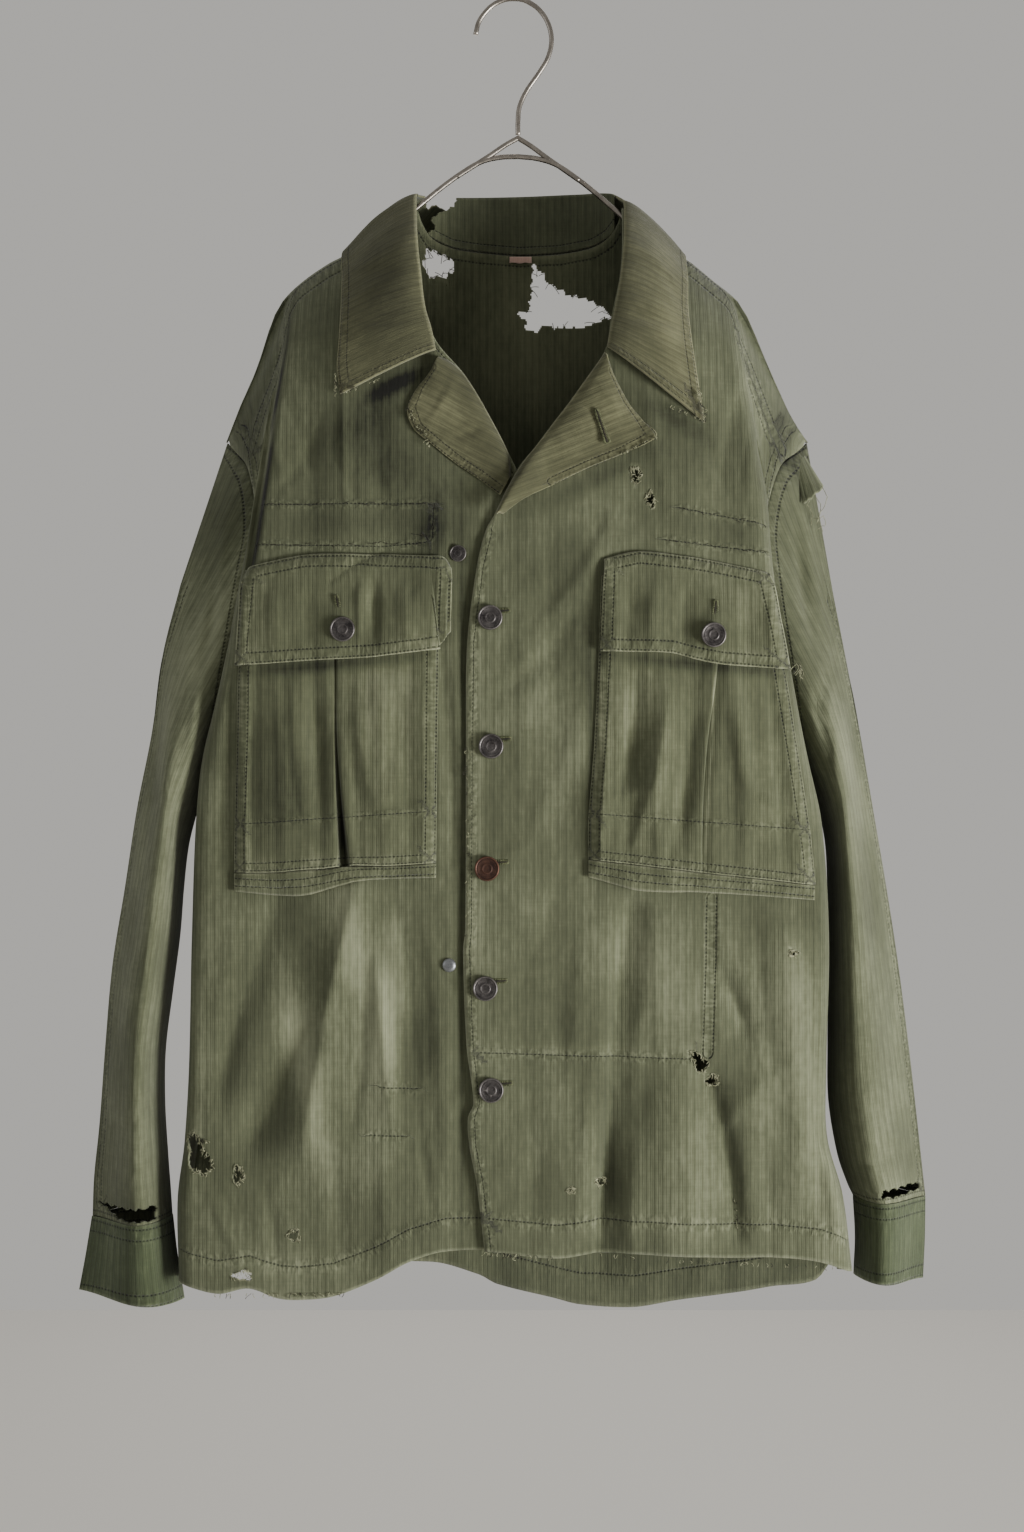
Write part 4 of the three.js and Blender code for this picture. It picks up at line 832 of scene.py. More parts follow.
# Rows of stitches where an old patch, a facing or a repair is sewn on each front
FRONT_SEAMS = {
    "right": [
        Seam([(-188, -384), (-57, -384)], 2.4, Rows.SINGLE),
        Seam([(-188, -413), (-140, -414), (-96.5, -415), (-64, -412)], 2.4, Rows.SINGLE),
        Seam([(-58, -385), (-59, -410)], 2.4, Rows.SINGLE),
        Seam([(-97, -806), (-70, -808)], 3.0, Rows.SINGLE),
        Seam([(-104, -841), (-80, -842)], 3.0, Rows.SINGLE),
    ],
    "left": [
        Seam([(119.6, -387), (153, -393), (187, -399)], 2.4, Rows.SINGLE),
        Seam([(109.5, -410), (149, -415), (187, -419)], 2.4, Rows.SINGLE),
        Seam([(172, -254), (191, -291.5), (207, -331)], 4.5),
        Seam([(-27, -781), (48, -783.5), (128, -786)], 2.6, Rows.SINGLE),
        Seam([(143.5, -668.5), (143, -717), (140.6, -782)], 3.6),
    ],
}
# Places round each sleeve and heights of the seam down its outer side
SLEEVE_LINES = {
    "right": [(198.0, -440.0), (196.0, -640.0), (190.0, -900.0)],
    "left": [(14.0, -450.0), (12.0, -640.0), (14.0, -890.0)],
}

BUTTON = 9.0
BUTTONS = [
    ("button_front_1", Side.LEFT, -17.0, -466.5, 0.7, BUTTON),
    ("button_front_2", Side.LEFT, -16.2, -559.5, 0.7, BUTTON),
    ("button_front_3", Side.LEFT, -19.0, -648.0, 0.7, BUTTON),
    ("button_front_4", Side.LEFT, -20.5, -734.5, 0.7, BUTTON),
    ("button_front_5", Side.LEFT, -16.2, -808.0, 0.7, BUTTON),
    ("button_neck", Side.RIGHT, -40.0, -420.0, 0.9, 6.0),
    ("button_flap_right", Side.RIGHT, -123.0, -475.0, 8.5, BUTTON),
    ("button_flap_left", Side.LEFT, 143.8, -479.5, 8.6, BUTTON),
]
# Buttonholes: side, round end, narrow end, half width and height over the front
BUTTONHOLES = [
    (Side.LEFT, (-18.0, -462.0), (-3.0, -461.0), 2.4, 0.0),
    (Side.LEFT, (-18.0, -555.0), (-2.0, -554.0), 2.4, 0.0),
    (Side.LEFT, (-20.0, -644.0), (-4.0, -643.0), 2.4, 0.0),
    (Side.LEFT, (-21.0, -730.0), (-5.0, -729.0), 2.4, 0.0),
    (Side.LEFT, (-17.0, -804.0), (-1.0, -803.0), 2.4, 0.0),
    (Side.LEFT, (67.6, -341.0), (59.6, -317.0), 2.4, 7.0),
    (Side.RIGHT, (-124.2, -470.0), (-127.6, -451.0), 2.6, 8.5),
    (Side.LEFT, (144.0, -473.0), (145.5, -455.0), 2.6, 8.5),
]
# Rows of old thread left in the cloth: side, start and end
OLD_THREAD = [
    (Side.RIGHT, (-188, -384), (-57, -384)), (Side.RIGHT, (-188, -413), (-140, -414)),
    (Side.RIGHT, (-140, -414), (-64, -412)), (Side.RIGHT, (-57, -385), (-58, -410)),
    (Side.LEFT, (119.6, -387), (153, -393)), (Side.LEFT, (153, -393), (187, -399)),
    (Side.LEFT, (109.5, -410), (149, -415)), (Side.LEFT, (149, -415), (187, -419)),
    (Side.RIGHT, (-74, -405), (-55, -409)), (Side.RIGHT, (-72, -408), (-56, -405)),
    (Side.RIGHT, (-70, -403), (-58, -411)), (Side.RIGHT, (-64, -402), (-62, -413)),
]
# Long threads that hang from the torn sleeve head, as places in the frame
HANGING = [
    [(223, -12, -371), (229, -14, -379), (227, -13, -389), (230, -12, -399)],
    [(229, -14, -366), (234, -15, -374), (229, -13, -384), (225, -14, -393)],
    [(224, -12, -390), (231, -14, -388), (232, -14, -395), (226, -13, -397)],
    [(221, -12, -372), (219, -14, -380), (223, -14, -388), (221, -13, -394)],
]
# Corners of the torn strip at the left sleeve's head: top inner, top outer, low inner, low outer
TORN_STRIP = [
    (209.0, -6.0, -338.0), (217.0, -3.0, -339.5), (215.0, -15.0, -378.0), (231.5, -9.0, -366.5),
]
# Frayed runs: side, start, end, how many yarns, how long (below 0 they stand up) and how high
FRAYS = [
    (Side.LEFT, (199, -500), (207, -504), 16, 8.0, 7.0),
    (Side.LEFT, (-24, -925), (30, -929), 22, 4.0, 0.3),
    (Side.LEFT, (60, -927), (240, -938), 30, 3.0, 0.3),
    (Side.RIGHT, (-220, -957), (-120, -955), 30, 4.0, 0.3),
    (Side.LEFT, (-34, -560), (-34, -700), 20, 2.5, 0.2),
    (Side.LEFT, (160, -880), (162, -908), 10, 3.0, 0.3),
    (Side.RIGHT, (-128, -290), (-126, -305), 26, 3.0, 5.0),
    (Side.RIGHT, (-126, -306), (-96, -294), 16, 2.0, 6.0),
    (Side.RIGHT, (-77, -314), (-60, -342), 26, 2.2, 3.0),
    (Side.LEFT, (132, -300), (138, -325), 26, 3.0, 5.0),
    (Side.LEFT, (138, -325), (110, -312), 16, 2.0, 6.0),
    (Side.LEFT, (103, -336), (60, -356), 20, 2.0, 3.0),
    (Side.RIGHT, (-232, -842), (-222, -846), 12, 4.0, 0.4),
]


def linear(code: str) -> tuple[float, float, float, float]:
    """A colour written in hexadecimal, as scene-linear values with alpha 1."""
    values = [int(code[i : i + 2], 16) / 255 for i in (0, 2, 4)]
    done = [c / 12.92 if c <= 0.04045 else ((c + 0.055) / 1.055) ** 2.4 for c in values]
    return (done[0], done[1], done[2], 1.0)


class Graph:
    """A material's nodes, added one call at a time."""

    def __init__(self, name: str) -> None:
        """Starts an empty material.

        Args:
            name: The material's name.
        """
        self.material = bpy.data.materials.new(name)
        self.material.use_nodes = True
        self.tree = self.material.node_tree
        self.tree.nodes.clear()

    def node(self, kind: str, inputs: dict, out: object = 0, **settings: object):
        """Adds a node.

        Args:
            kind: The node's type.
            inputs: Values or sockets by input name or index.
            out: Name or index of the output that is returned.
            settings: Properties of the node.

        Returns:
            The output socket.
        """
        node = self.tree.nodes.new(kind)
        for key, value in settings.items():
            setattr(node, key, value)
        for key, value in inputs.items():
            if isinstance(value, bpy.types.NodeSocket):
                self.tree.links.new(value, node.inputs[key])
            else:
                node.inputs[key].default_value = value
        return node.outputs[out]

    def math(self, operation: str, a: object, b: object = 0.0):
        """One sum on two values."""
        return self.node("ShaderNodeMath", {0: a, 1: b}, operation=operation)

    def step(self, value: object, low: float, high: float):
        """Eased 0 to 1 as a value goes from low to high."""
        return self.node(
            "ShaderNodeMapRange",
            {"Value": value, "From Min": low, "From Max": high},
            interpolation_type="SMOOTHSTEP",
        )

    def weave(self, u: object, v: object, across: float, along: float, detail: float = 1.0):
        """Noise stretched over the cloth, so many to a metre across and along."""
        vector = self.node(
            "ShaderNodeCombineXYZ",
            {0: self.math("MULTIPLY", u, across), 1: self.math("MULTIPLY", v, along)},
        )
        return self.node("ShaderNodeTexNoise", {"Vector": vector, "Scale": 1.0, "Detail": detail})

    def place(self, name: str) -> tuple:
        """The two values of a UV map."""
        split = self.tree.nodes.new("ShaderNodeSeparateXYZ")
        uv = self.node("ShaderNodeUVMap", {}, uv_map=name)
        self.tree.links.new(uv, split.inputs[0])
        return split.outputs[0], split.outputs[1]

    def total(self, start: float, *terms: tuple) -> object:
        """A start plus each socket times its share."""
        value: object = start
        for socket, share in terms:
            value = self.node(
                "ShaderNodeMath", {0: socket, 1: share, 2: value}, operation="MULTIPLY_ADD"
            )
        return value

    def ramp(self, value: object, colours: Sequence[tuple[float, str]]):
        """Colour by value, from places and colours."""
        socket = self.node("ShaderNodeValToRGB", {0: value})
        ramp = socket.node.color_ramp
        while len(ramp.elements) < len(colours):
            ramp.elements.new(0.5)
        for element, (place, code) in zip(ramp.elements, colours):
            element.position = place
            element.color = linear(code)
        return socket

    def finish(self, colour: object, height: object = None, **values: object) -> bpy.types.Material:
        """Ends the material in a surface shader.

        Args:
            colour: Base colour.
            height: Relief in metres.
            values: Other inputs of the shader, with _ for a space.

        Returns:
            The material.
        """
        inputs = {key.replace("_", " "): value for key, value in values.items()}
        inputs["Base Color"] = colour
        if height is not None:
            inputs["Normal"] = self.node(
                "ShaderNodeBump", {"Height": height, "Distance": 1.0, "Strength": 1.0}
            )
        shader = self.node("ShaderNodeBsdfPrincipled", inputs)
        end = self.tree.nodes.new("ShaderNodeOutputMaterial")
        self.tree.links.new(shader, end.inputs[0])
        return self.material


@dataclass(frozen=True)
class Twill:
    """Herringbone cotton: faded streaks, puckered seams, worn edges and a fine zigzag weave, with
    the painted shade and painted light that the mesh's tone attribute carries.
    """

    name: str
    deep: str
    base: str
    faded: str
    pucker: float = 1.0
    # Near-black end of the colour ramp: painted shadow, reached where strong dark spots push the
    # tone below 0.1
    shade: str = "0c0d07"
    column: float = 0.0029
    rib: float = 0.0011
    stitch: float = 0.0028

    def material(self) -> bpy.types.Material:
        """Makes the material from the maps Cloth and Seams, the tone attribute of wear, stains,
        painted shade and painted light, and the attribute Apart.
        """
        g = Graph(self.name)
        u, v = g.place("Cloth")
        along, beside = g.place("Seams")
        # The tone attribute: wear, stains, painted shade and painted light
        wear = g.node("ShaderNodeAttribute", {}, out=2, attribute_name="WearAndShade")
        apart = g.node("ShaderNodeAttribute", {}, out=2, attribute_name="Apart")
        swing = g.math("PINGPONG", u, self.column)
        rise = g.math("DIVIDE", g.total(0.0, (v, 1.0), (swing, 1.5)), self.rib)
        rib = g.math("ABSOLUTE", g.math("SUBTRACT", g.math("FRACT", rise), 0.5))
        turn = g.math("ABSOLUTE", g.math("SUBTRACT", g.math("DIVIDE", swing, self.column), 0.5))
        cut = g.step(turn, 0.3, 0.5)
        half = g.math("FRACT", g.math("DIVIDE", u, 2.0 * self.column))
        column = g.step(g.math("ABSOLUTE", g.math("SUBTRACT", half, 0.5)), 0.22, 0.28)
        broad = g.weave(u, v, 11.0, 7.0, 3.0)
        patch = g.weave(u, v, 46.0, 15.0, 2.0)
        fleck = g.weave(u, v, 260.0, 110.0, 2.0)
        streak = g.weave(u, v, 330.0, 16.0, 3.0)
        yarn = g.weave(u, v, 900.0, 60.0)
        slub = g.weave(u, v, 60.0, 700.0)
        crumple = g.weave(u, v, 14.0, 10.0, 2.0)
        crease = g.weave(u, v, 44.0, 34.0, 2.0)
        single = g.math("GREATER_THAN", along, ROW_MARK / 2.0)
        sewn = g.math("SUBTRACT", 1.0, g.step(apart, 2.4, 3.2))
        off = g.math("ABSOLUTE", beside)
        near = g.math("MULTIPLY", g.math("SUBTRACT", 1.0, g.step(off, 0.9, 2.1)), sewn)
        gather = g.step(g.weave(along, beside, 300.0, 0.5), 0.34, 0.7)
        pucker = g.math("MULTIPLY", gather, near)
        row = g.math("ABSOLUTE", g.total(-1.0, (off, 1.0), (single, 1.0)))
        line = g.math("MULTIPLY", g.math("SUBTRACT", 1.0, g.step(row, 0.08, 0.24)), sewn)
        beat = g.math("FRACT", g.math("DIVIDE", along, self.stitch))
        beat = g.math("ABSOLUTE", g.math("SUBTRACT", beat, 0.5))
        hole = g.math("MULTIPLY", line, g.math("SUBTRACT", 1.0, g.step(beat, 0.14, 0.34)))
        # The pucker term lightens the gathered ridges beside each seam: a painted highlight
        tone = g.total(
            -0.08, (wear, 0.66), (broad, 0.17), (patch, 0.3), (fleck, 0.2), (streak, 0.1),
            (yarn, 0.15), (slub, 0.08),
            (rib, 0.12), (cut, -0.06), (column, 0.06), (pucker, 0.15 * self.pucker),
            (near, -0.06 * self.pucker), (line, -0.06), (hole, -0.3),
        )
        # Tone below 0.1 runs to the near-black shade colour, which paints the strongest shadows
        colour = g.ramp(
            tone, [(0.0, self.shade), (0.1, self.deep), (0.5, self.base), (0.95, self.faded)]
        )
        height = g.total(
            0.0, (rib, 0.00012), (cut, -0.00012), (yarn, 0.0001), (crumple, 0.0048),
            (crease, 0.0019), (pucker, 0.00045 * self.pucker), (line, -0.0003), (hole, -0.0003),
        )
        return g.finish(
            colour, height, Roughness=0.93, Specular_IOR_Level=0.18,
            Sheen_Weight=0.12, Sheen_Roughness=0.6,
        )


@dataclass(frozen=True)
class Metal:
    """Worn metal, dark in its hollows and rubbed on its edges."""

    name: str
    dark: str
    rubbed: str
    metallic: float
    roughness: float

    def material(self) -> bpy.types.Material:
        """Makes the material on object coordinates."""
        g = Graph(self.name)
        at = g.node("ShaderNodeTexCoord", {}, out="Object")
        grain = g.node("ShaderNodeTexNoise", {"Vector": at, "Scale": 900.0, "Detail": 3.0})
        patch = g.node("ShaderNodeTexNoise", {"Vector": at, "Scale": 160.0, "Detail": 2.0})
        edge = g.node("ShaderNodeNewGeometry", {}, out="Pointiness")
        rub = g.step(edge, 0.5, 0.62)
        tone = g.total(-0.12, (grain, 0.35), (patch, 0.45), (rub, 0.5))
        colour = g.ramp(tone, [(0.1, self.dark), (0.9, self.rubbed)])
        rough = g.total(self.roughness - 0.1, (patch, 0.25))
        height = g.total(0.0, (grain, 0.00006))
        return g.finish(colour, height, Roughness=rough, Metallic=self.metallic)


@dataclass(frozen=True)
class Thread:
    """Sewing thread or loose yarn."""

    name: str
    dark: str
    light: str

    def material(self) -> bpy.types.Material:
        """Makes the material on object coordinates."""
        g = Graph(self.name)
        at = g.node("ShaderNodeTexCoord", {}, out="Object")
        grain = g.node("ShaderNodeTexNoise", {"Vector": at, "Scale": 420.0, "Detail": 2.0})
        colour = g.ramp(grain, [(0.3, self.dark), (0.7, self.light)])
        return g.finish(colour, g.total(0.0, (grain, 0.0002)), Roughness=0.9)


FINISHES = {
    "twill": Twill("olive_twill", "26291a", "4f533e", "85896f"),
    "pocket": Twill("pocket_twill", "26291a", "50543e", "878a70", pucker=0.8),
    "collar": Twill("collar_twill", "252618", "4c4d37", "7c7c5e", pucker=0.8),
    "cuff": Twill("cuff_twill", "1f2416", "3e4630", "6c7457", pucker=0.8),
    "inside": Twill("inside_twill", "202219", "474b38", "6f7259", pucker=0.5),
    "label": Twill("label_weave", "8d7265", "b3958a", "d0bfb0", pucker=0.0),
    "button": Metal("dark_button", "1d1a1c", "8a8583", 0.85, 0.42),
    "rusty": Metal("rusty_button", "241a19", "74503f", 0.7, 0.5),
    "rivet": Metal("grey_rivet", "55585b", "b4b6b8", 0.9, 0.4),
    "wire": Metal("drawn_wire", "6f6a64", "bdb6ad", 1.0, 0.3),
    "thread": Thread("loose_yarn", "4d5038", "a3a487"),
    "worked": Thread("worked_thread", "33381f", "686c4d"),
    # Dark thread, and the near-black tube that paints the shade in each buttonhole slit
    "dark_thread_and_slit_shade": Thread("dark_thread_and_slit_shade", "121109", "2a281a"),
}


def material(name: str) -> bpy.types.Material:
    """The material of a finish, made once."""
    finish = FINISHES[name]
    return bpy.data.materials.get(finish.name) or finish.material()


def inside(x: Points, z: Points, outline: Sequence[Row]) -> Points:
    """Which places lie in a closed outline."""
    found = np.zeros(x.shape, dtype=bool)
    for (ax, az), (bx, bz) in zip(outline, list(outline[1:]) + [outline[0]]):
        spans = (az > z) != (bz > z)
        cross = ax + (z - az) * (bx - ax) / ((bz - az) or 1e-9)
        found ^= spans & (x < cross)
    return found


def nearest_on(x: float, z: float, outline: Sequence[Row]) -> tuple[float, float, float]:
    """Nearest point of a closed outline, and how far it is."""
    best = (x, z, 1e9)
    for (ax, az), (bx, bz) in zip(outline, list(outline[1:]) + [outline[0]]):
        run, fall = bx - ax, bz - az
        t = min(max(((x - ax) * run + (z - az) * fall) / ((run**2 + fall**2) or 1e-9), 0.0), 1.0)
        px, pz = ax + t * run, az + t * fall
        off = math.hypot(x - px, z - pz)
        if off < best[2]:
            best = (px, pz, off)
    return best


def worn_outline(hole: dict[str, float], points: int = 26) -> list[tuple[float, float]]:
    """Uneven round outline of a worn hole.

    Args:
        hole: Its centre, sizes and turn.
        points: How many corners the outline has.

    Returns:
        The outline's corners.
    """
    outline = []
    turn = math.radians(hole["turn"])
    for i in range(points):
        a = 2.0 * math.pi * i / points
        wear = 1.0 + 0.16 * math.sin(3 * a + hole["x"]) + 0.1 * math.sin(5 * a + hole["z"])
        wear += 0.09 * math.sin(13 * a + hole["x"]) * math.sin(7 * a)
        across = hole["wide"] / 2 * wear * math.cos(a)
        up = hole["tall"] / 2 * wear * math.sin(a)
        outline.append(
            (
                hole["x"] + across * math.cos(turn) - up * math.sin(turn),
                hole["z"] + across * math.sin(turn) + up * math.cos(turn),
            )
        )
    return outline


def ragged(outline: Sequence[Row], rough: float = 1.1) -> list[tuple[float, float]]:
    """An outline with its sides split and frayed by an uneven amount."""
    result = []
    for i, (a, b) in enumerate(zip(outline, list(outline[1:]) + [outline[0]])):
        length = math.hypot(b[0] - a[0], b[1] - a[1])
        parts = max(int(length / 2.4), 1)
        for k in range(parts):
            t = k / parts
            jag = rough * math.sin(7.3 * i + 4.1 * k) * (0.0 if k == 0 else 1.0)
            nx, nz = (b[1] - a[1]) / length, (a[0] - b[0]) / length
            result.append((lerp(a[0], b[0], t) + jag * nx, lerp(a[1], b[1], t) + jag * nz))
    return result


@dataclass
class Cloth:
    """One piece of cloth, taken from a flat grid to a dressed shell.

    shape turns shares down and across into points in millimetres and places on the flat cloth.
    """

    name: str
    nodes: Sequence[str]
    slot: str
    finish: str
    cells: tuple[int, int]
    shape: Callable[[Points, Points], tuple[Points, Points, Points]]
    flat: tuple[float, float]
    toward: Optional[tuple[float, float, float]] = None
    held: str = "hung"
    area: Optional[float] = None
    lining: str = "inside"
    thickness: float = CLOTH
    holes: Sequence[Sequence[Row]] = ()
    reach: Optional[tuple[float, float]] = None
    seams: Sequence[Seam] = ()
    spots: Optional[Table] = None
    # Tone on the open edges: pale wear above 0, painted shade below 0
    edge_wear_and_shade: float = 0.35
    grain: float = 0.0
    weld: bool = False
    rests_on: Sequence[str] = ("hanger_frame",)

    def shares(self, mesh: bmesh.types.BMesh) -> tuple[Points, Points]:
        """Shares down and across of the flat grid's corners."""
        co = np.array([v.co[:2] for v in mesh.verts]).reshape(-1, 2)
        return 0.5 - co[:, 1], co[:, 0] + 0.5

    def refine(self, mesh: bmesh.types.BMesh) -> None:
        """Splits the faces near each hole, so that its rim can follow its outline."""
        for outline in self.holes:
            points, _, _ = self.shape(*self.shares(mesh))
            rim = np.array(outline)
            low, high = rim.min(0) - 3.0, rim.max(0) + 3.0
            near = (points[:, 0] > low[0]) & (points[:, 0] < high[0])
            near &= (points[:, 2] > low[1]) & (points[:, 2] < high[1])
            if self.reach:
                near &= (points[:, 1] > self.reach[0]) & (points[:, 1] < self.reach[1])
            mesh.verts.index_update()
            edges = [e for e in mesh.edges if near[e.verts[0].index] and near[e.verts[1].index]]
            bmesh.ops.subdivide_edges(mesh, edges=edges, cuts=2, use_grid_fill=True)

    def cut(self, mesh: bmesh.types.BMesh) -> dict[bmesh.types.BMVert, tuple[float, float]]:
        """Takes the holes out and finds where each corner of a rim belongs."""
        moved: dict[bmesh.types.BMVert, tuple[float, float]] = {}
        for outline in self.holes:
            points, _, _ = self.shape(*self.shares(mesh))
            mesh.verts.index_update()
            rim_box = np.array(outline)
            low, high = rim_box.min(0), rim_box.max(0)
            near = (points[:, 0] >= low[0]) & (points[:, 0] <= high[0])
            near &= (points[:, 2] >= low[1]) & (points[:, 2] <= high[1])
            close = [f for f in mesh.faces if any(near[v.index] for v in f.verts)]
            if not close:
                continue
            middles = np.array([points[[v.index for v in f.verts]].mean(0) for f in close])
            hit = inside(middles[:, 0], middles[:, 2], outline)
            if self.reach:
                hit &= (middles[:, 1] > self.reach[0]) & (middles[:, 1] < self.reach[1])
            gone = [f for f, taken in zip(close, hit) if taken]
            rim = {v for f in gone for v in f.verts}
            places = {v: points[v.index] for v in rim}
            bmesh.ops.delete(mesh, geom=gone, context="FACES")
            for v in rim:
                if v.is_valid:
                    x, z, off = nearest_on(places[v][0], places[v][2], outline)
                    if off < 5.0:
                        moved[v] = (x, z)
        return moved

    def build(self) -> bpy.types.Object:
        mesh = bmesh.new()
        bmesh.ops.create_grid(mesh, x_segments=self.cells[1], y_segments=self.cells[0], size=0.5)
        self.refine(mesh)
        moved = self.cut(mesh)
        points, u, v = self.shape(*self.shares(mesh))
        along, beside = seam_field(u, v, self.seams)
        # Tone of each corner: random unevenness, plus the spots, which hold fading and stains and
        # also painted shadows and painted light
        wear = 0.1 * ripple(u, v, 140.0, len(self.name))
        if self.spots is not None:
            wear = wear + spots_at(self.spots, u, v)
        wear_and_shade_layer = mesh.verts.layers.float.new("WearAndShade")
        apart_layer = mesh.verts.layers.float.new("Apart")
        turn = math.radians(self.grain)
        across = (u * math.cos(turn) - v * math.sin(turn)) * MM
        length = (u * math.sin(turn) + v * math.cos(turn)) * MM
        cloth = mesh.loops.layers.uv.new("Cloth")
        sewn = mesh.loops.layers.uv.new("Seams")
        mesh.verts.index_update()
        for f in mesh.faces:
            for loop in f.loops:
                i = loop.vert.index
                loop[cloth].uv = (across[i], length[i])
                loop[sewn].uv = (along[i], beside[i])
        for vert in mesh.verts:
            i = vert.index
            x, z = moved.get(vert, (points[i, 0], points[i, 2]))
            vert.co = (x * MM, points[i, 1] * MM, z * MM)
            vert[wear_and_shade_layer] = wear[i]
            vert[apart_layer] = abs(beside[i])
        if self.weld:
            bmesh.ops.remove_doubles(mesh, verts=mesh.verts, dist=0.00012)
        # Open edges take the edge tone: pale worn edges above 0, a painted shade rim below 0
        for vert in mesh.verts:
            if vert.is_boundary:
                vert[wear_and_shade_layer] += self.edge_wear_and_shade
        self.face_outwards(mesh)
        return self.dress(mesh)

    def face_outwards(self, mesh: bmesh.types.BMesh) -> None:
        """Turns the faces so that they point away from the wearer."""
        mesh.normal_update()
        middle = sum((f.calc_center_median().y for f in mesh.faces), 0.0) / len(mesh.faces)
        score = 0.0
        for f in mesh.faces:
            if self.toward:
                score += f.normal.dot(Vector(self.toward)) * f.calc_area()
            else:
                score += f.normal.y * (f.calc_center_median().y - middle)
        if score < 0.0:
            bmesh.ops.reverse_faces(mesh, faces=mesh.faces)

    def dress(self, mesh: bmesh.types.BMesh) -> bpy.types.Object:
        """Turns the mesh into the finished piece."""
        data = bpy.data.meshes.new(self.name)
        mesh.to_mesh(data)
        mesh.free()
        data.polygons.foreach_set("use_smooth", [True] * len(data.polygons))
        data.materials.append(material(self.finish))
        data.materials.append(material(self.lining))
        piece = bpy.data.objects.new(self.name, data)
        bpy.context.scene.collection.objects.link(piece)
        wall = piece.modifiers.new("Wall", "SOLIDIFY")
        wall.thickness = self.thickness * MM
        wall.offset = -1.0
        wall.material_offset = 1
        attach(piece, "root")
        if self.nodes:
            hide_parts(*self.nodes)
        area = sum(p.area for p in data.polygons)
        LOG.info("%s: %d faces, %.4f m2 of cloth", self.name, len(data.polygons), area)
        return piece


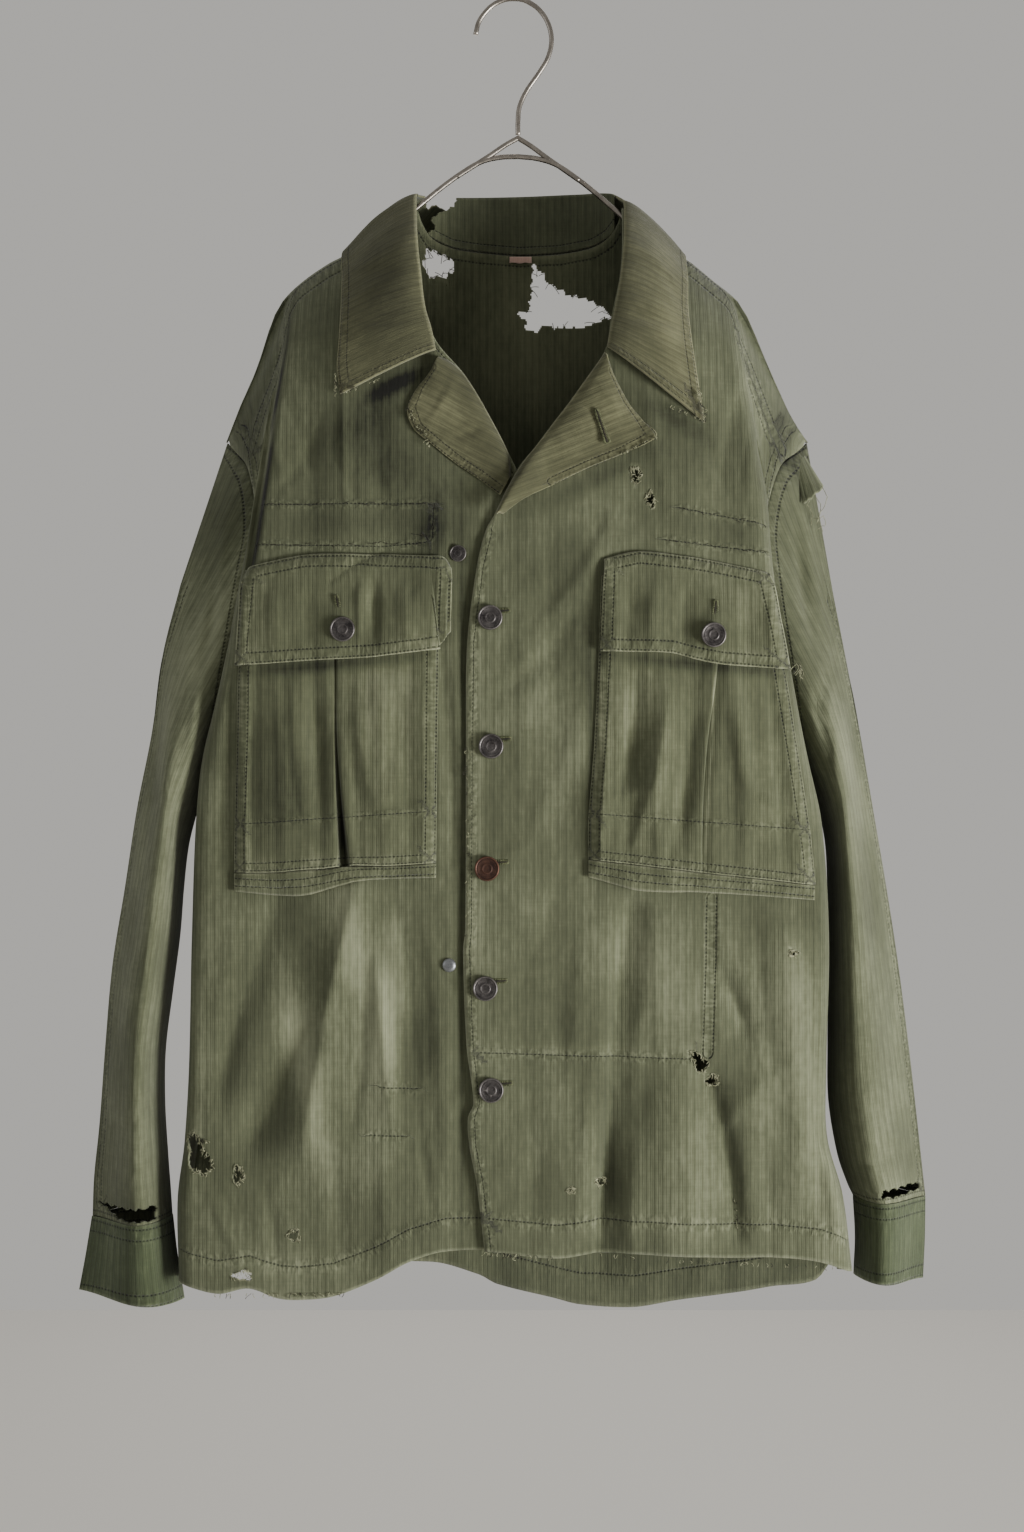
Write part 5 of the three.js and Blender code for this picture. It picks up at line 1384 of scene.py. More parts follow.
@dataclass
class Body:
    """The back and the two fronts, which hang from the shoulders as one tube."""

    front_cells: tuple[int, int, int] = (84, 6, 8)
    back_cells: tuple[int, int, int] = (56, 5, 7)
    front_rows: int = 240
    back_rows: int = 190
    middle: float = 3.0
    edge_row: float = 4.5
    hem_row: float = 24.0

    def across(
        self, side: Side, down: Points, over: Points, cells: tuple[int, int, int], face: int
    ) -> tuple[Points, Points, Points]:
        """Points of one side of the front or back.

        Args:
            side: The wearer's side.
            down: Shares of the way from the shoulder to the hem.
            over: Shares from the front edge or the middle of the back to the side.
            cells: Cells of the flat part, the turn and the side, which set their shares.
            face: -1 for the front and 1 for the back.

        Returns:
            The points, and their places on the flat cloth.
        """
        hang = HANG[side.value]
        first, last = hang["fold"][0], hang["fold"][-1]
        fold = lerp(first, last, down)
        hem = HEM["back" if face > 0 else side.value]
        top = self.neck_or_ridge if face > 0 else ridge_at
        if face > 0:
            low = float(hem.at("x", self.middle, "z"))
            high = float(NECK.at("x", self.middle, "z"))
            z0, z0_first, z0_last = lerp(high, low, down), high, low
            x0 = np.full_like(down, self.middle)
        else:
            z0 = hang.at("fold", fold, "front")
            z0_first, z0_last = hang["front"][0], hang["front"][-1]
            x0 = EDGE[side.value].at("z", z0, "x")
        flat_share = cells[0] / sum(cells)
        turn_share = (cells[0] + cells[1]) / sum(cells)
        end = fold_x(side, fold)
        flat = end - side.hand * FOLD_RADIUS
        theta = np.clip((over - flat_share) / (turn_share - flat_share), 0.0, 1.0) * math.pi / 2.0
        x = lerp(x0, flat, np.clip(over / flat_share, 0.0, 1.0))
        x = x + side.hand * FOLD_RADIUS * np.sin(theta)
        share = np.clip((x - x0) / (end - x0), 0.0, 1.0)
        on_top = lerp(z0_first, first, share)
        on_hem = lerp(z0_last, last, share)
        shoulder = (top(x) - on_top) * np.clip(1.0 - (first - fold) / SHOULDER_REACH, 0.0, 1.0)
        waves = (hem.at("x", x, "z") - on_hem) * fade(fold, last + HEM_REACH, last)
        z = lerp(z0, fold, share) + shoulder + waves
        y = back_y(x, z) if face > 0 else front_y(x, z) + np.where(
            z < ridge_at(x), lap_at(side, x), 0.0
        )
        level = np.abs(back_y(flat, z) if face > 0 else front_y(flat, z))
        k = np.clip((over - turn_share) / (1.0 - turn_share), 0.0, 1.0)
        away = hang.at("fold", fold, "sideY") * (1.0 if face < 0 else BACK_ARMHOLE)
        x = lerp(x, hang.at("fold", fold, "sideX"), k)
        y = lerp(y, face * np.maximum(away, 0.5 * SEAM), k)
        z = lerp(z, hang.at("fold", fold, "side"), k)
        fallen = np.where(k > 0.0, np.clip((first - fold) / 16.0, 0.0, 1.0), 1.0)
        y = lerp(face * 0.5 * SEAM, y, fallen)
        z = lerp(ridge_at(x), z, fallen)
        wrap = np.where(over > flat_share, np.maximum(level - np.abs(y), 0.0), 0.0)
        return np.stack([x, y, z], -1), x + side.hand * wrap, z

    def neck_or_ridge(self, x: Points) -> Points:
        """Upper line of the back: the neckline between the shoulder seams, or the shoulder."""
        at_neck = (x > NECK["x"][0]) & (x < NECK["x"][-1])
        neck = NECK.at("x", np.clip(x, NECK["x"][0], NECK["x"][-1]), "z")
        return np.where(at_neck, neck, ridge_at(x))

    def front_shape(self, side: Side) -> Callable[[Points, Points], tuple[Points, Points, Points]]:
        """The shape function of one front. The right one is made from its side to its edge."""

        def shape(down: Points, over: Points) -> tuple[Points, Points, Points]:
            return self.across(side, down, over, self.front_cells, -1)

        return shape

    def back_shape(self, down: Points, over: Points) -> tuple[Points, Points, Points]:
        """The shape of the back, from the right side across to the left one."""
        right = self.across(
            Side.RIGHT, down, np.clip(1.0 - 2.0 * over, 0.0, 1.0), self.back_cells, 1
        )
        left = self.across(Side.LEFT, down, np.clip(2.0 * over - 1.0, 0.0, 1.0), self.back_cells, 1)
        to_left = over >= 0.5
        points = np.where(to_left[:, None], left[0], right[0])
        return points, np.where(to_left, left[1], right[1]), np.where(to_left, left[2], right[2])

    def side_line(
        self, side: Side, face: int, start: float, end: float
    ) -> list[tuple[float, float]]:
        """Places along a panel's side edge, for its seam."""
        down = np.linspace(start, end, 18)
        cells = self.front_cells if face < 0 else self.back_cells
        _, u, v = self.across(side, down, np.full_like(down, 0.985), cells, face)
        return list(zip(u.tolist(), v.tolist()))

    def front_seams(self, side: Side) -> list[Seam]:
        """Seams of one front: edge, hem, shoulder, armhole, side and what is sewn on it."""
        edge = [(x + side.hand * self.edge_row, z) for z, x in EDGE[side.value].line("z", "x")]
        edge = [(x, z) for x, z in edge if z < (-400.0 if side is Side.LEFT else -150.0)]
        hem = [(x, z + self.hem_row) for x, z in HEM[side.value].line("x", "z")]
        top = [(x, z - 9.0) for x, z in RIDGE.line("x", "z") if 86.0 < abs(x) and x * side.hand > 0]
        seams = [
            Seam(edge, 2.4, Rows.SINGLE), Seam(hem, 3.4, Rows.SINGLE), Seam(top, 5.0),
            Seam(self.side_line(side, -1, 0.04, 0.45), 3.0),
            Seam(self.side_line(side, -1, 0.5, 1.0), 3.0),
        ]
        return seams + FRONT_SEAMS[side.value]

    def build(self) -> None:
        """Builds the back and the fronts."""
        back_hem = [(x, z + self.hem_row) for x, z in HEM["back"].line("x", "z")]
        neck = [(x, z - 4.0) for x, z in NECK.line("x", "z")]
        Cloth(
            "back_panel", ["back"], "twill_inside", "twill",
            (self.back_rows, 2 * sum(self.back_cells)), self.back_shape, (0.56, 0.81),
            toward=(0.0, 1.0, 0.0), area=0.44, holes=[ragged(h, 1.5) for h in BACK_HOLES],
            seams=[Seam(back_hem, 4.0, Rows.SINGLE), Seam(neck, 4.0)]
            + [Seam(self.side_line(s, 1, 0.02, 0.45), 5.0) for s in Side]
            + [Seam(self.side_line(s, 1, 0.5, 1.0), 4.0) for s in Side],
            spots=BACK_SPOTS, edge_wear_and_shade=0.2, reach=(8.0, 80.0),
        ).build()
        for side in Side:
            Cloth(
                f"front_panel_{side.value}", [f"front_{side.value}"], "twill", "twill",
                (self.front_rows, sum(self.front_cells)), self.front_shape(side), (0.33, 0.8),
                toward=(0.0, -1.0, 0.0), area=0.235,
                holes=[worn_outline(h) for h in HOLES[side.value].records()],
                seams=self.front_seams(side), spots=FRONT_SPOTS[side.value], reach=(-90.0, -25.0),
            ).build()


@dataclass
class Sleeves:
    """Both sleeves and their cuffs, as tubes from the armhole down."""

    head: float = 1.7
    front_lean: float = 1.7
    square: float = 0.75
    round_cells: int = 56
    rows: int = 150
    girth: float = 210.0

    def ring(self, table: Table, row: Points, around: Points) -> Points:
        """Points of a tube at rows of its table, around from the outer side over the front."""
        face = np.where(around < 0.5, -1.0, 1.0)
        share = np.where(around < 0.5, 2.0 * around, 2.0 - 2.0 * around)
        get = {name: table.at("row", row, name) for name in table.data if name != "row"}
        c = (1.0 - np.cos(math.pi * share)) / 2.0
        lean = np.where(face < 0, c**self.front_lean, c)
        reach = np.clip(np.sin(math.pi * lean), 0.0, 1.0) ** self.square
        seam_y = (get["front"] + get["back"]) / 2.0
        edge = np.where(face < 0, get["front"], get["back"])
        bow = -np.sign(get["outX"]) * get["bow"] * np.sin(math.pi * share)
        return np.stack(
            [
                lerp(get["outX"], get["inX"], c) + bow,
                seam_y + (edge - seam_y) * reach,
                lerp(get["outZ"], get["inZ"], c),
            ],
            -1,
        )

    def armhole(self, side: Side, around: Points) -> Points:
        """Points of the armhole at the same places around."""
        hang = HANG[side.value]
        face = np.where(around < 0.5, -1.0, 1.0)
        share = np.where(around < 0.5, 2.0 * around, 2.0 - 2.0 * around)
        c = (1.0 - np.cos(math.pi * share)) / 2.0
        first, under = hang["side"][0], hang["side"][9]
        z = lerp(first, under, c)
        on_top = fade(z, -356.0, first)
        away = hang.at("side", z, "sideY") * np.where(face < 0, 1.0, BACK_ARMHOLE)
        x = hang.at("side", z, "sideX") - side.hand * 0.8
        return np.stack([x, face * np.maximum(0.96 * away, 0.05), z - 0.8 * on_top], -1)

    def sleeve_shape(self, side: Side) -> Callable[[Points, Points], tuple[Points, Points, Points]]:
        """The shape function of one sleeve, with its creases."""
        table = SLEEVES[side.value]

        def shape(down: Points, around: Points) -> tuple[Points, Points, Points]:
            row = down * (self.head + table.count - 1) - self.head
            low = self.ring(table, np.maximum(row, 0.0), around)
            reach = np.clip(1.0 + row / self.head, 0.0, 1.0)[:, None]
            points = lerp(self.armhole(side, around), low, reach)
            face = np.where(around < 0.5, -1.0, 1.0)
            crease = np.where(
                around < 0.5,
                creases_at(SLEEVE_CREASES[side.value], points[:, 0], points[:, 2]),
                creases_at(SLEEVE_BACKS[side.value], points[:, 0], points[:, 2]),
            )
            crease = crease + 1.2 * ripple(around * 160.0, 0.5 * points[:, 2], 80.0, 3.0)
            open_share = np.sin(math.pi * np.clip(np.abs(2.0 * around - 1.0), 0.0, 1.0)) ** 0.5
            settled = fade(reach[:, 0], 0.0, 0.5)
            points[:, 1] += face * crease * open_share * settled
            u = (around if side is Side.LEFT else 1.0 - around) * self.girth
            return points, u, points[:, 2]

        return shape

    def cuff_shape(self, side: Side) -> Callable[[Points, Points], tuple[Points, Points, Points]]:
        """The shape function of one cuff."""
        table = CUFFS[side.value]

        def shape(down: Points, around: Points) -> tuple[Points, Points, Points]:
            points = self.ring(table, down * (table.count - 1), around)
            points[:, 1] += 0.8 * ripple(around * 160.0, points[:, 2], 60.0, 4.0)
            return points, around * self.girth, points[:, 2]

        return shape

    def level_seam(self, z: float, rows: Rows = Rows.DOUBLE, half: float = 4.0) -> Seam:
        """A seam round a sleeve at one height."""
        return Seam([(0.0, z), (self.girth, z)], half, rows)

    def head_seam(self, side: Side) -> Seam:
        """The seam over the front of a sleeve's head, just below the armhole."""
        around = np.linspace(0.0, 0.48, 16)
        line = self.armhole(side, around)
        u = (around if side is Side.LEFT else 1.0 - around) * self.girth
        return Seam(list(zip(u.tolist(), (line[:, 2] - 5.0).tolist())), 3.0)

    def torn_strip(self, down: Points, over: Points) -> tuple[Points, Points, Points]:
        """The shape of the strip that has torn loose at the left sleeve's head."""
        corners = np.array(TORN_STRIP)
        top = lerp(corners[0], corners[1], over[:, None])
        low = lerp(corners[2], corners[3], over[:, None])
        points = lerp(top, low, down[:, None])
        points[:, 1] -= 2.5 * np.sin(math.pi * over) * (0.3 + down)
        points[:, 2] += 2.2 * down * ripple(over * 20.0, down, 9.0, 5.0)
        return points, over * 18.0, points[:, 2]

    def build(self) -> None:
        """Builds the sleeves and cuffs."""
        Cloth(
            "torn_strip_left", [], "twill", "twill", (20, 12), self.torn_strip, (0.018, 0.036),
            toward=(0.0, -1.0, 0.0), held="folded", thickness=1.0, area=0.00058,
            rests_on=["sleeve_left"], edge_wear_and_shade=0.4,
        ).build()
        for side in Side:
            name = side.value
            end = float(SLEEVES[name]["outZ"][-1])
            along = [(x, z) for x, z in SLEEVE_LINES[name]]
            Cloth(
                f"sleeve_{name}", [f"sleeve_{name}_front", f"sleeve_{name}_back"], "twill", "twill",
                (self.rows, self.round_cells), self.sleeve_shape(side), (0.235, 0.52),
                weld=True, holes=[ragged(h) for h in SLEEVE_RIPS[name]], reach=(-90.0, -8.0),
                seams=[
                    self.level_seam(end + 4.0, Rows.SINGLE), Seam(along, 4.0), self.head_seam(side),
                ],
                # Painted shade: a dark rim along the sleeve's open edges, at the armhole and round
                # its rips
                edge_wear_and_shade=-0.1,
                spots=SLEEVE_SPOTS, rests_on=["front_panel_" + name, "back_panel"],
            ).build()
            Cloth(
                f"cuff_band_{name}", [f"cuff_{name}"], "twill_cuff", "cuff",
                (20, self.round_cells), self.cuff_shape(side), (0.235, 0.062),
                weld=True, seams=[self.level_seam(end - 7.0), self.level_seam(end - 55.0)],
                rests_on=["sleeve_" + name],
            ).build()


@dataclass
class Neck:
    """Lapels, collar and the band inside the neck."""

    over: float = 5.4
    clear: float = 3.4
    stand_clear: float = 4.8
    leaf_width: float = 72.0
    leaf_length: float = 640.0

    def lapel_shape(self, side: Side) -> Callable[[Points, Points], tuple[Points, Points, Points]]:
        """The shape function of one lapel."""
        table = LAPELS[side.value]

        def shape(down: Points, over: Points) -> tuple[Points, Points, Points]:
            row = down * (table.count - 1)
            get = {name: table.at("row", row, name) for name in ("rollX", "rollZ", "outX", "outZ")}
            lift = LAPEL_LIFT.at("share", over, "lift")
            x = lerp(get["rollX"], get["outX"], over)
            z = lerp(get["rollZ"], get["outZ"], over)
            lap = self.over * fade(x, 30.0, 4.0) if side is Side.LEFT else 0.0
            relief = creases_at(LAPEL_CREASES, x, z) * np.sin(math.pi * over) ** 0.5
            return on_front(side, x, z, lift + lap + relief), x, z

        return shape

    def lapel_seams(self, side: Side) -> list[Seam]:
        """The row of stitches inside a lapel's outer edge."""
        line = []
        for r in LAPELS[side.value].records():
            width = math.hypot(r["outX"] - r["rollX"], r["outZ"] - r["rollZ"])
            share = 1.0 - 3.5 / max(width, 8.0)
            line.append((lerp(r["rollX"], r["outX"], share), lerp(r["rollZ"], r["outZ"], share)))
        return [Seam(line[: -2 if side is Side.LEFT else None], 2.6)]

    def collar_lines(self) -> tuple[Table, Table]:
        """The collar's crease and outer edge, from the right tip round to the left one."""
        columns = ("rollX", "rollY", "rollZ", "outX", "outY", "outZ")
        rows = []
        runs = ((COLLAR_RIGHT, Side.RIGHT), (COLLAR_NECK, None), (COLLAR_LEFT, Side.LEFT))
        for table, side in runs:
            for r in table.records():
                if side is not None:
                    for end in ("roll", "out"):
                        x, z = np.array([r[end + "X"]]), np.array([r[end + "Z"]])
                        r[end + "Y"] = float(front_y(x, z)[0]) - self.clear
                rows.append([r[c] for c in columns])
        return Table(" ".join(columns), rows), FALL

    def leaf_shape(self, down: Points, over: Points) -> tuple[Points, Points, Points]:
        """The shape of the collar's fall."""
        lines, fall = self.collar_lines()
        row = down * (lines.count - 1)

        def ends(at: Points) -> tuple[Points, Points]:
            got = [
                np.stack([lines.at("row", at, end + axis) for axis in "XYZ"], -1)
                for end in ("roll", "out")
            ]
            return got[0], got[1]

        roll, out = ends(row)
        before = ends(np.maximum(row - 0.5, 0.0))
        after = ends(np.minimum(row + 0.5, lines.count - 1))
        round_ = after[0] + after[1] - before[0] - before[1]
        proud = np.cross(round_, out - roll)
        proud = proud / np.linalg.norm(proud, axis=1)[:, None]
        u, v = down * self.leaf_length, over * self.leaf_width
        lift = fall.at("share", over, "proud") + creases_at(COLLAR_CREASES, u, v) * np.sin(
            math.pi * np.clip(over, 0.0, 1.0)
        )
        return lerp(roll, out, over[:, None]) + proud * lift[:, None], u, v

    def stand_shape(self, down: Points, over: Points) -> tuple[Points, Points, Points]:
        """The shape of the band inside the neck, from its top down."""
        x = lerp(-66.0, 76.0, over)
        seam = NECK.at("x", x, "z")
        low = np.stack([x, back_y(x, seam) - 1.9, seam + 0.4], -1)
        high = np.stack(
            [
                x,
                COLLAR_NECK.at("rollX", x, "rollY") - self.stand_clear,
                COLLAR_NECK.at("rollX", x, "rollZ") - 1.0,
            ],
            -1,
        )
        points = lerp(high, low, down[:, None])
        points[:, 1] += 0.9 * ripple(x, points[:, 2], 45.0, 7.0) * np.sin(math.pi * down)
        return points, x, points[:, 2]

    def build(self) -> None:
        """Builds the lapels, the collar and its band."""
        for side in Side:
            count = LAPELS[side.value].count
            Cloth(
                f"lapel_fold_{side.value}", [f"lapel_{side.value}"], "twill", "collar",
                (9 * count, 34), self.lapel_shape(side),
                (0.1, 0.13) if side is Side.LEFT else (0.07, 0.105), toward=(0.0, -1.0, 0.0),
                held="folded", area=0.0062 if side is Side.LEFT else 0.0033,
                thickness=1.3, seams=self.lapel_seams(side), spots=LAPEL_SPOTS,
                rests_on=["front_panel_" + side.value], lining="collar", edge_wear_and_shade=0.5,
                grain=68.0 if side is Side.LEFT else -62.0,
            ).build()
        width, length = self.leaf_width, self.leaf_length
        Cloth(
            "collar_fall", ["collar_leaf"], "twill", "collar", (170, 26), self.leaf_shape,
            (0.62, 0.064), toward=None, held="folded", thickness=1.6, area=0.037,
            holes=[ragged(h) for h in COLLAR_TEARS], reach=(6.0, 60.0),
            seams=[
                Seam([(0.0, width - 4.5), (length, width - 4.5)], 3.0),
                Seam([(6.0, 4.0), (6.0, width)], 3.0),
                Seam([(length - 6.0, 4.0), (length - 6.0, width)], 3.0),
            ],
            spots=COLLAR_SPOTS, rests_on=["back_panel"], lining="inside", edge_wear_and_shade=0.45,
        ).build()
        Cloth(
            "collar_band", ["collar_stand"], "twill_inside", "inside", (18, 70), self.stand_shape,
            (0.15, 0.045), toward=(0.0, -1.0, 0.0), held="folded", thickness=1.3,
            holes=[ragged(h) for h in STAND_TEARS], reach=(2.0, 44.0),
            seams=[Seam([(x, z + 3.0) for x, z in NECK.line("x", "z")], 3.0)],
            rests_on=["back_panel"], lining="inside", edge_wear_and_shade=0.25,
        ).build()
        Cloth(
            "label_rest", ["label"], "label", "label", (5, 16), self.label_shape,
            (0.017, 0.01), toward=(0.0, -1.0, 0.0), thickness=0.6, rests_on=["back_panel"],
            lining="label", edge_wear_and_shade=0.3, area=8e-5,
        ).build()

    def label_shape(self, down: Points, over: Points) -> tuple[Points, Points, Points]:
        """The shape of what is left of the neck label."""
        x = lerp(-3.0, 14.0, over)
        z = lerp(-184.0, -188.6, down) + 0.5 * ripple(x, down * 3.0, 9.0, 2.0) * down
        return np.stack([x, back_y(x, z) - 3.9, z], -1), x, z


@dataclass
class Pockets:
    """Both pleated pockets with their gussets and flaps."""

    edge: float = 2.0
    pleat_deep: float = 7.0
    band_lift: float = 6.6
    band_edge: float = 3.2
    flap_cells: tuple[int, int] = (44, 96)

    def profile(
        self, side: Side, down: Points, row: dict[str, Points], over: Points
    ) -> tuple[Points, Points]:
        """Place across and lift of a pocket at a share of its profile.

        The right pleat opens towards its foot, the left one is pressed shut with one proud edge.

        Args:
            side: The wearer's side.
            down: Shares of the way down.
            row: The pocket's table read at each point.
            over: Shares of the profile, from the viewer's left to the right.

        Returns:
            The places across and the lifts.
        """
        third = (row["pleat"] - row["leftX"]) / 3.0
        rest = (row["rightX"] - row["pleat"]) / 3.0
        lift = row["lift"]
        shut = side is Side.LEFT
        gap = np.full_like(down, 0.7) if shut else row["gap"] * fade(down, 0.3, 1.0) + 0.5
        sink = 1.2 if shut else self.pleat_deep
        deep = np.maximum(lift - sink * np.minimum(gap / 2.5, 1.0), 0.6)
        proud = 0.9 if shut else 0.0
        low = self.edge - 0.6
        steps = [
            (0.0, row["leftX"], low), (0.05, row["leftX"] + 3.0, lerp(low, lift, 0.4)),
            (0.11, row["leftX"] + 9.0, lerp(low, lift, 0.85)), (0.27, row["leftX"] + third, lift),
            (0.42, row["leftX"] + 2.0 * third, lift + 0.6), (0.51, row["pleat"] - 7.0, lift + 1.4),
            (0.545, row["pleat"] - gap / 2.0 - 0.8, lift + 0.5 + proud),
            (0.56, row["pleat"] - gap / 2.0, lift - 1.5 + 2.4 * proud),
            (0.575, row["pleat"] - gap / 4.0, deep),
            (0.585, row["pleat"] + gap / 4.0, deep),
            (0.6, row["pleat"] + gap / 2.0, lift - 1.5 + 1.4 * proud),
            (0.615, row["pleat"] + gap / 2.0 + 0.8, lift + 0.5 - 0.8 * proud),
            (0.65, row["pleat"] + 7.0, lift + 1.2), (0.74, row["pleat"] + rest, lift + 0.4),
            (0.83, row["pleat"] + 2.0 * rest, lift),
            (0.9, row["rightX"] - 9.0, lerp(low, lift, 0.85)),
            (0.95, row["rightX"] - 3.0, lerp(low, lift, 0.4)), (1.0, row["rightX"], low),
        ]
        x, rise = np.zeros_like(over), np.zeros_like(over)
        for (a, ax, al), (b, bx, bl) in zip(steps, steps[1:]):
            t = np.clip((over - a) / (b - a), 0.0, 1.0)
            here = (over >= a) & (over <= b)
            x = np.where(here, lerp(ax, bx, t), x)
            rise = np.where(here, lerp(al, bl, t), rise)
        return x, rise

    def front_shape(self, side: Side) -> Callable[[Points, Points], tuple[Points, Points, Points]]:
        """The shape function of a pocket's front."""
        table = POCKETS[side.value]

        def shape(down: Points, over: Points) -> tuple[Points, Points, Points]:
            row = {n: table.at("row", 4.0 * down, n) for n in table.data if n != "row"}
            x, lift = self.profile(side, down, row, over)
            share = (x - row["leftX"]) / (row["rightX"] - row["leftX"])
            z = lerp(row["leftZ"], row["rightZ"], share)
            soft = fade(over, 0.02, 0.12) * fade(over, 0.98, 0.88) * fade(down, 0.0, 0.12)
            folds = 1.35 * creases_at(POCKET_CREASES[side.value], x, z)
            lift = lift + soft * (folds + 0.5 * ripple(x, z, 50.0, 9.0))
            return on_front(side, x, z, lift), x, z

        return shape

    def front_seams(self, side: Side) -> list[Seam]:
        """Stitch rows down both edges of a pocket."""
        rows = POCKETS[side.value].records()
        lines = [
            Seam([(r["leftX"] + 4.5, r["leftZ"]) for r in rows], 3.4),
            Seam([(r["rightX"] - 4.5, r["rightZ"]) for r in rows], 3.4),
        ]
        last = rows[-1]
        low = rows[-2]
        return lines + [
            Seam(
                [(last["leftX"], last["leftZ"] + 4.0), (last["rightX"], last["rightZ"] + 4.0)],
                2.6,
            ),
            Seam(
                [(low["leftX"], low["leftZ"] + 4.0), (low["rightX"], low["rightZ"] + 2.0)],
                2.0, Rows.SINGLE,
            ),
        ]

    def band_shape(self, side: Side) -> Callable[[Points, Points], tuple[Points, Points, Points]]:
        """The shape function of the gusset below a pocket."""
        last = POCKETS[side.value].records()[-1]
        table = BANDS[side.value]

        def shape(down: Points, over: Points) -> tuple[Points, Points, Points]:
            x = lerp(table["x"][0], table["x"][-1], over)
            reach = (x - last["leftX"]) / (last["rightX"] - last["leftX"])
            top = lerp(last["leftZ"], last["rightZ"], reach) - 0.6
            low = table.at("x", x, "low")
            ends = fade(over, 0.0, 0.05) * fade(over, 1.0, 0.95)
            lift = self.band_edge + (self.band_lift - self.band_edge) * (1.0 - down**1.5) * ends
            z = lerp(top, low, down)
            lift = lift + 0.8 * ends * (1.0 - down) * ripple(x, z, 30.0, 6.0)
            return on_front(side, x, z, lift), x, z

        return shape

    def band_seam(self, side: Side) -> Seam:
        """Stitch rows along the gusset."""
        last = POCKETS[side.value].records()[-1]
        line = []
        for x, low in BANDS[side.value].line("x", "low"):
            reach = (x - last["leftX"]) / (last["rightX"] - last["leftX"])
            line.append((x, (lerp(last["leftZ"], last["rightZ"], reach) + low) / 2.0))
        return Seam(line, 2.8)

    def flap_shape(self, side: Side) -> Callable[[Points, Points], tuple[Points, Points, Points]]:
        """The shape function of a flap, seen from the front."""
        table = FLAPS[side.value]

        def shape(down: Points, over: Points) -> tuple[Points, Points, Points]:
            row = over * (table.count - 1)
            get = {n: table.at("row", row, n) for n in ("topX", "topZ", "lowX", "lowZ")}
            lift = FLAP_LIFT.at("share", down, "lift")
            x = lerp(get["topX"], get["lowX"], down)
            z = lerp(get["topZ"], get["lowZ"], down)
            ends = fade(over, 0.0, 0.06) * fade(over, 1.0, 0.94)
            free = fade(down, 0.1, 0.5)
            lift = lift - 2.4 * (1.0 - ends) * free
            lift = lift + ends * free * (
                1.7 * creases_at(FLAP_CREASES[side.value], x, z) + 0.6 * ripple(x, z, 60.0, 8.0)
            )
            return on_front(side, x, z, lift), x, z

        return shape

    def flap_seams(self, side: Side) -> list[Seam]:
        """Stitch rows round a flap."""
        rows = FLAPS[side.value].records()
        ring = [(r["lowX"], r["lowZ"] + 5.0) for r in rows]
        top = [(r["topX"], r["topZ"] - 5.0) for r in rows]
        first, last = rows[0], rows[-1]
        return [
            Seam(top, 3.6), Seam(ring, 3.6),
            Seam([(first["topX"] + 4.5, first["topZ"]), (first["lowX"] + 4.5, first["lowZ"])], 3.2),
            Seam([(last["topX"] - 4.5, last["topZ"]), (last["lowX"] - 4.5, last["lowZ"])], 3.2),
        ]

    def build(self) -> None:
        """Builds both pockets."""
        for side in Side:
            name = side.value
            rests = ["front_panel_" + name]
            Cloth(
                f"pocket_front_{name}", [f"pocket_{name}"], "twill", "pocket", (90, 110),
                self.front_shape(side), (0.185, 0.235), toward=(0.0, -1.0, 0.0),
                thickness=1.1, seams=self.front_seams(side), spots=POCKET_SPOTS[name],
                rests_on=rests, lining="inside", area=0.036,
            ).build()
            Cloth(
                f"pocket_gusset_{name}", [f"pocket_band_{name}"], "twill", "pocket", (8, 100),
                self.band_shape(side), (0.165, 0.022), toward=(0.0, -1.0, 0.0),
                thickness=1.1, rests_on=rests, lining="inside", edge_wear_and_shade=0.4, area=0.0022,
                seams=[self.band_seam(side)],
            ).build()
            Cloth(
                f"pocket_flap_{name}", [f"flap_{name}"], "twill", "pocket", self.flap_cells,
                self.flap_shape(side), (0.152, 0.082), toward=(0.0, -1.0, 0.0), thickness=1.6,
                seams=self.flap_seams(side), spots=FLAP_SPOTS, rests_on=["pocket_front_" + name],
                lining="pocket", edge_wear_and_shade=0.5, held="folded",
            ).build()


def place_mesh(mesh: bmesh.types.BMesh, name: str, finish: str) -> bpy.types.Object:
    """A mesh as a smooth object of one finish."""
    data = bpy.data.meshes.new(name)
    mesh.to_mesh(data)
    mesh.free()
    data.polygons.foreach_set("use_smooth", [True] * len(data.polygons))
    data.materials.append(material(finish))
    piece = bpy.data.objects.new(name, data)
    bpy.context.scene.collection.objects.link(piece)
    return piece


